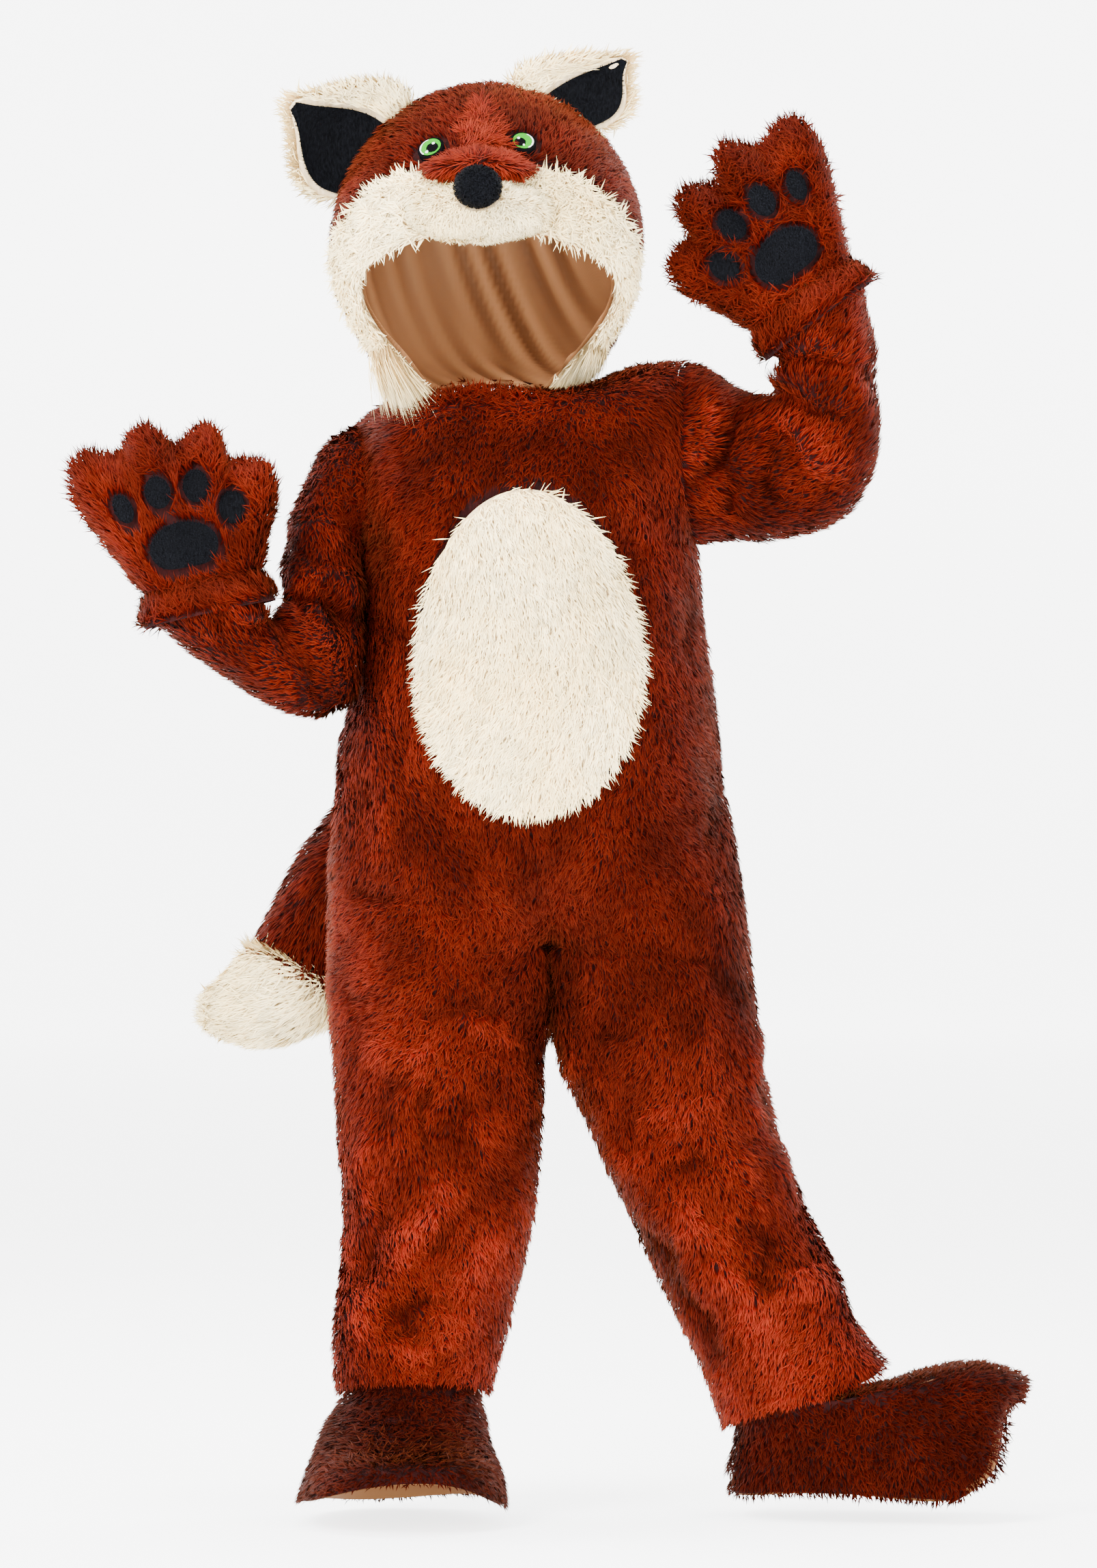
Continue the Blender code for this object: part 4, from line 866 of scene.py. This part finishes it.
def build_skins():
    """Smooth skins for all cloth nodes, inset from their outer layers with shared border normals."""
    layers = {node: outer_layer(node, piece["wall"], piece.get("whole", False))
              for node, piece in PIECES.items()}
    groups = {}
    for node in layers:
        groups.setdefault(PIECES[node]["group"], []).append(node)
    skins = {}
    for nodes in groups.values():
        total = sum(len(layers[node].verts) for node in nodes)
        near = kdtree.KDTree(total)
        normals = []
        for node in nodes:
            for vertex in layers[node].verts:
                near.insert(vertex.co, len(normals))
                normals.append(vertex.normal.copy())
        near.balance()
        for node in nodes:
            piece, cloth = PIECES[node], layers[node]
            moved = []
            for vertex in cloth.verts:
                shared = Vector()
                for _, index, _ in near.find_range(vertex.co, JOIN_REACH):
                    shared += normals[index]
                moved.append(vertex.co - shared.normalized() * piece["inset"] * MM)
            for vertex, place in zip(cloth.verts, moved):
                vertex.co = place
                if node == "hood_lining" and place.y > -0.02:
                    low, fade, depth = NECK_TUCK
                    above = place.z / MM + HOLD_HEIGHT - low
                    place.z -= max(0.0, 1 - above / fade) * depth * MM
                drawn_in(node, vertex)
            mesh = bpy.data.meshes.new(node + "_cage")
            cloth.to_mesh(mesh)
            mesh.materials.clear()
            mesh = rounded(mesh, piece["levels"])
            relief = np.zeros(len(mesh.vertices))
            if piece["folds"]:
                relief += folds(points_of(mesh), piece["folds"])
            if piece.get("satin"):
                relief += satin_folds(points_of(mesh), node)
            elif piece["group"] in ("suit", "hood", "tail"):
                relief += ripple(points_of(mesh))
            if piece["group"] == "suit":
                close_touches(mesh)
            move_points(mesh, points_of(mesh) + normals_of(mesh) * (relief * MM)[:, None])
            # The relief attribute drives painted shade: darker in troughs and lighter on ridges, in the
            # satin's colour and the pile's brightness.
            shade = mesh.attributes.new("relief", "FLOAT", "POINT")
            shown = -relief if piece.get("satin") else relief
            shade.data.foreach_set("value", (0.5 + shown / RELIEF_RANGE).astype(np.float32))
            mesh.materials.clear()
            mesh.polygons.foreach_set("material_index", np.zeros(len(mesh.polygons), np.int32))
            mesh.shade_smooth()
            skins[node] = object_from("skin_" + node, mesh, piece["back"])
            if piece["group"] == "suit" or "cover_" in piece["group"]:
                HEM_POINTS.extend(lower_edge(mesh))
            cloth.free()
    return skins


def lower_edge(mesh):
    """Points of a skin's open edges within 180 mm of the floor, without upright seams."""
    cloth = bmesh.new()
    cloth.from_mesh(mesh)
    found = []
    for edge in cloth.edges:
        if len(edge.link_faces) == 1:
            a, b = (vertex.co for vertex in edge.verts)
            level = abs(a.z - b.z) < 0.75 * (a - b).length
            if level and a.z < FLOOR_Z + 0.14:
                found.append((a + b) / 2)
    cloth.free()
    return found


def mesh_area(mesh):
    points, corners = points_of(mesh), triangles_of(mesh)
    a, b, c = (points[corners[:, i]] for i in range(3))
    return float(np.linalg.norm(np.cross(b - a, c - a), axis=1).sum() / 2)


def build_cloth():
    """The skins with their piles, each in the place of its node."""
    skins = build_skins()
    areas = {node: mesh_area(skin.data) for node, skin in skins.items()}
    share = sum(areas[n] * p["pile"]["weight"] for n, p in PIECES.items() if p["pile"])
    for seed, (node, piece) in enumerate(PIECES.items()):
        skin = skins[node]
        parts = []
        if piece["pile"]:
            count = int(STRAND_BUDGET * areas[node] * piece["pile"]["weight"] / share)
            count = min(count, STRANDS_A_PIECE)
            covers = [(cover_points(over, skins), reach) for over, reach in COVERED.get(node, ())]
            parts = [pile("pile_" + node, skin.data, count, piece["pile"], 100 + seed * 7, covers)]
            if node in EXTRA:
                count, more = EXTRA[node]
                parts.append(pile("tuft_" + node, skin.data, count, more, 900 + seed * 7, covers))
        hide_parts(node)
        for thing in (skin, *parts):
            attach(thing, BODY)


# Eyes.

# Pupil, highlights and crescent of each eye, in shares of its radius seen from the front.
EYE_MARKS = {
    "right": {"pupil": (0.20, -0.10, 0.44), "glints": ((0.18, 0.28, 0.11), (-0.10, -0.50, 0.12)),
              "white": (-1, 0.07)},
    "left": {"pupil": (-0.26, -0.16, 0.42), "glints": ((-0.34, 0.22, 0.11), (-0.02, -0.46, 0.08)),
             "white": (1, 0.08)},
}


# An eye's stitching covers a little more than its solid's flat face. Its black edge starts here.
EYE_SHARE = 1.24
EYE_EDGE = 0.77


def build_eye(side):
    """A round embroidered eye: black edge, green iris, black pupil and white glints."""
    low, high = (np.array(c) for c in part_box(f"eye_{side}"))
    centre, radius = (low + high) / 2, (high[0] - low[0]) / 2 * EYE_SHARE
    facing = outer_layer(f"eye_{side}", 1.6)
    normal = np.array(sum((f.normal * f.calc_area() for f in facing.faces), Vector()).normalized())
    facing.free()
    if normal[1] > 0:
        normal = -normal
    across = unit(np.cross((0, 0, 1), normal))
    if across[0] < 0:
        across = -across
    up = np.cross(normal, across)
    if up[2] < 0:
        up = -up
    marks = EYE_MARKS[side]
    rings, spokes = 26, 72
    points, faces, slots = [centre + normal * 0.0042], [], []

    def colour(u, v):
        for x, y, size in marks["glints"]:
            if math.hypot(u - x, v - y) < size:
                return 2
        if math.hypot(u, v) > EYE_EDGE:
            return 0
        x, y, size = marks["pupil"]
        if math.hypot(u - x, v - y) < size:
            return 0
        sign, width = marks["white"]
        if math.hypot(u + sign * width, v) > EYE_EDGE - 0.03 and u * sign > 0.3:
            return 2
        return 1

    for ring in range(1, rings + 1):
        share = ring / rings
        for k in range(spokes):
            angle = 2 * math.pi * k / spokes
            u, v = share * math.cos(angle), share * math.sin(angle)
            rise = 0.0030 * math.sqrt(max(0.0, 1 - share ** 3)) + 0.0020
            if ring == rings:
                rise = -0.0040
            points.append(centre + (across * u + up * v) * radius + normal * rise)
            inner = 0 if ring == 1 else 1 + (ring - 2) * spokes
            m = (k + 1) % spokes
            outer = 1 + (ring - 1) * spokes
            mid = share - 0.5 / rings
            turn = angle + math.pi / spokes
            if ring == 1:
                faces.append((0, outer + k, outer + m))
            else:
                faces.append((inner + k, outer + k, outer + m, inner + m))
            slots.append(colour(mid * math.cos(turn), mid * math.sin(turn)))
    mesh = bpy.data.meshes.new(f"eye_{side}_stitched")
    mesh.from_pydata([tuple(p) for p in points], [], faces)
    mesh.shade_smooth()
    thing = object_from(f"eye_{side}_stitched", mesh, THREAD_BLACK)
    mesh.materials.append(THREAD_GREEN)
    mesh.materials.append(THREAD_WHITE)
    mesh.polygons.foreach_set("material_index", np.array(slots, np.int32))
    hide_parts(f"eye_{side}", f"iris_{side}")
    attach(thing, BODY)


# Stage, lights and camera.

CAMERA_PLACE = (0.049, -6.0, -0.314)
CAMERA_LENS = 166.5


def build_stage():
    """A plain pale floor that rises in a curve all round, far behind every camera."""
    tree = Tree("studio_floor")
    soft = tree.noise(1.5, 2.0)
    tree.join(tree.ramp(soft, ((0.3, (0.86, 0.86, 0.86)), (0.7, (0.90, 0.90, 0.90)))),
              tree.shader.inputs["Base Color"])
    tree.value("Roughness", 0.9)
    tree.value("Emission Color", (1.0, 1.0, 1.0, 1.0))
    tree.value("Emission Strength", 3.1)
    flat, curve, top, steps, spokes = 12.0, 2.0, 7.0, 8, 64
    profile = [(0.2, 0.0), (2.0, 0.0), (6.0, 0.0), (flat, 0.0)]
    for step in range(1, steps + 1):
        turn = math.pi / 2 * step / steps
        profile.append((flat + curve * math.sin(turn), curve - curve * math.cos(turn)))
    profile.append((flat + curve, top))
    turns = [2 * math.pi * k / spokes for k in range(spokes)]
    points = [(reach * math.cos(turn), reach * math.sin(turn), FLOOR_Z + rise)
              for reach, rise in profile for turn in turns]
    faces = [tuple(range(spokes))]
    for i in range(len(profile) - 1):
        for k in range(spokes):
            m = (k + 1) % spokes
            faces.append((i * spokes + k, (i + 1) * spokes + k, (i + 1) * spokes + m, i * spokes + m))
    mesh = bpy.data.meshes.new("studio_floor")
    mesh.from_pydata(points, [], faces)
    mesh.shade_smooth()
    floor = object_from("studio_floor", mesh, tree.material)


def add_light(name, place, target, size, power):
    """A soft white area light."""
    lamp = bpy.data.lights.new(name, "AREA")
    lamp.shape = "RECTANGLE"
    lamp.size, lamp.size_y = size
    lamp.energy = power
    thing = bpy.data.objects.new(name, lamp)
    thing.location = place
    thing.rotation_euler = (Vector(target) - Vector(place)).to_track_quat("-Z", "Y").to_euler()
    bpy.context.scene.collection.objects.link(thing)


def build_lights():
    """White light from all round, with a key from the left."""
    backdrop = bpy.data.worlds.new("studio")
    backdrop.use_nodes = True
    shade = backdrop.node_tree.nodes["Background"]
    shade.inputs["Color"].default_value = (1.0, 1.0, 1.0, 1.0)
    shade.inputs["Strength"].default_value = 1.5
    bpy.context.scene.world = backdrop
    middle = (0.03, 0.0, -0.25)
    add_light("key", (-1.7, -2.4, 1.7), middle, (1.2, 1.6), 255)
    add_light("fill", (2.4, -2.4, 0.6), middle, (1.6, 2.0), 95)
    add_light("top", (0.0, -0.2, 2.4), middle, (1.4, 1.4), 110)
    add_light("back_left", (-1.8, 1.3, 0.9), middle, (0.9, 1.8), 50)
    add_light("back_right", (1.9, 1.3, 0.9), middle, (0.9, 1.8), 50)


def build_camera():
    """The photograph's view: far off, level and at half the costume's height."""
    lens = bpy.data.cameras.new("camera")
    lens.sensor_fit = "VERTICAL"
    lens.sensor_height = 36.0
    lens.lens = CAMERA_LENS
    lens.clip_end = 40.0
    camera = bpy.data.objects.new("camera", lens)
    camera.location = CAMERA_PLACE
    camera.rotation_euler = (math.pi / 2, 0.0, 0.0)
    bpy.context.scene.collection.objects.link(camera)
    bpy.context.scene.camera = camera


build_camera()
build_stage()
build_lights()
build_cloth()
for eye_side in ("right", "left"):
    build_eye(eye_side)

bpy.context.view_layer.update()
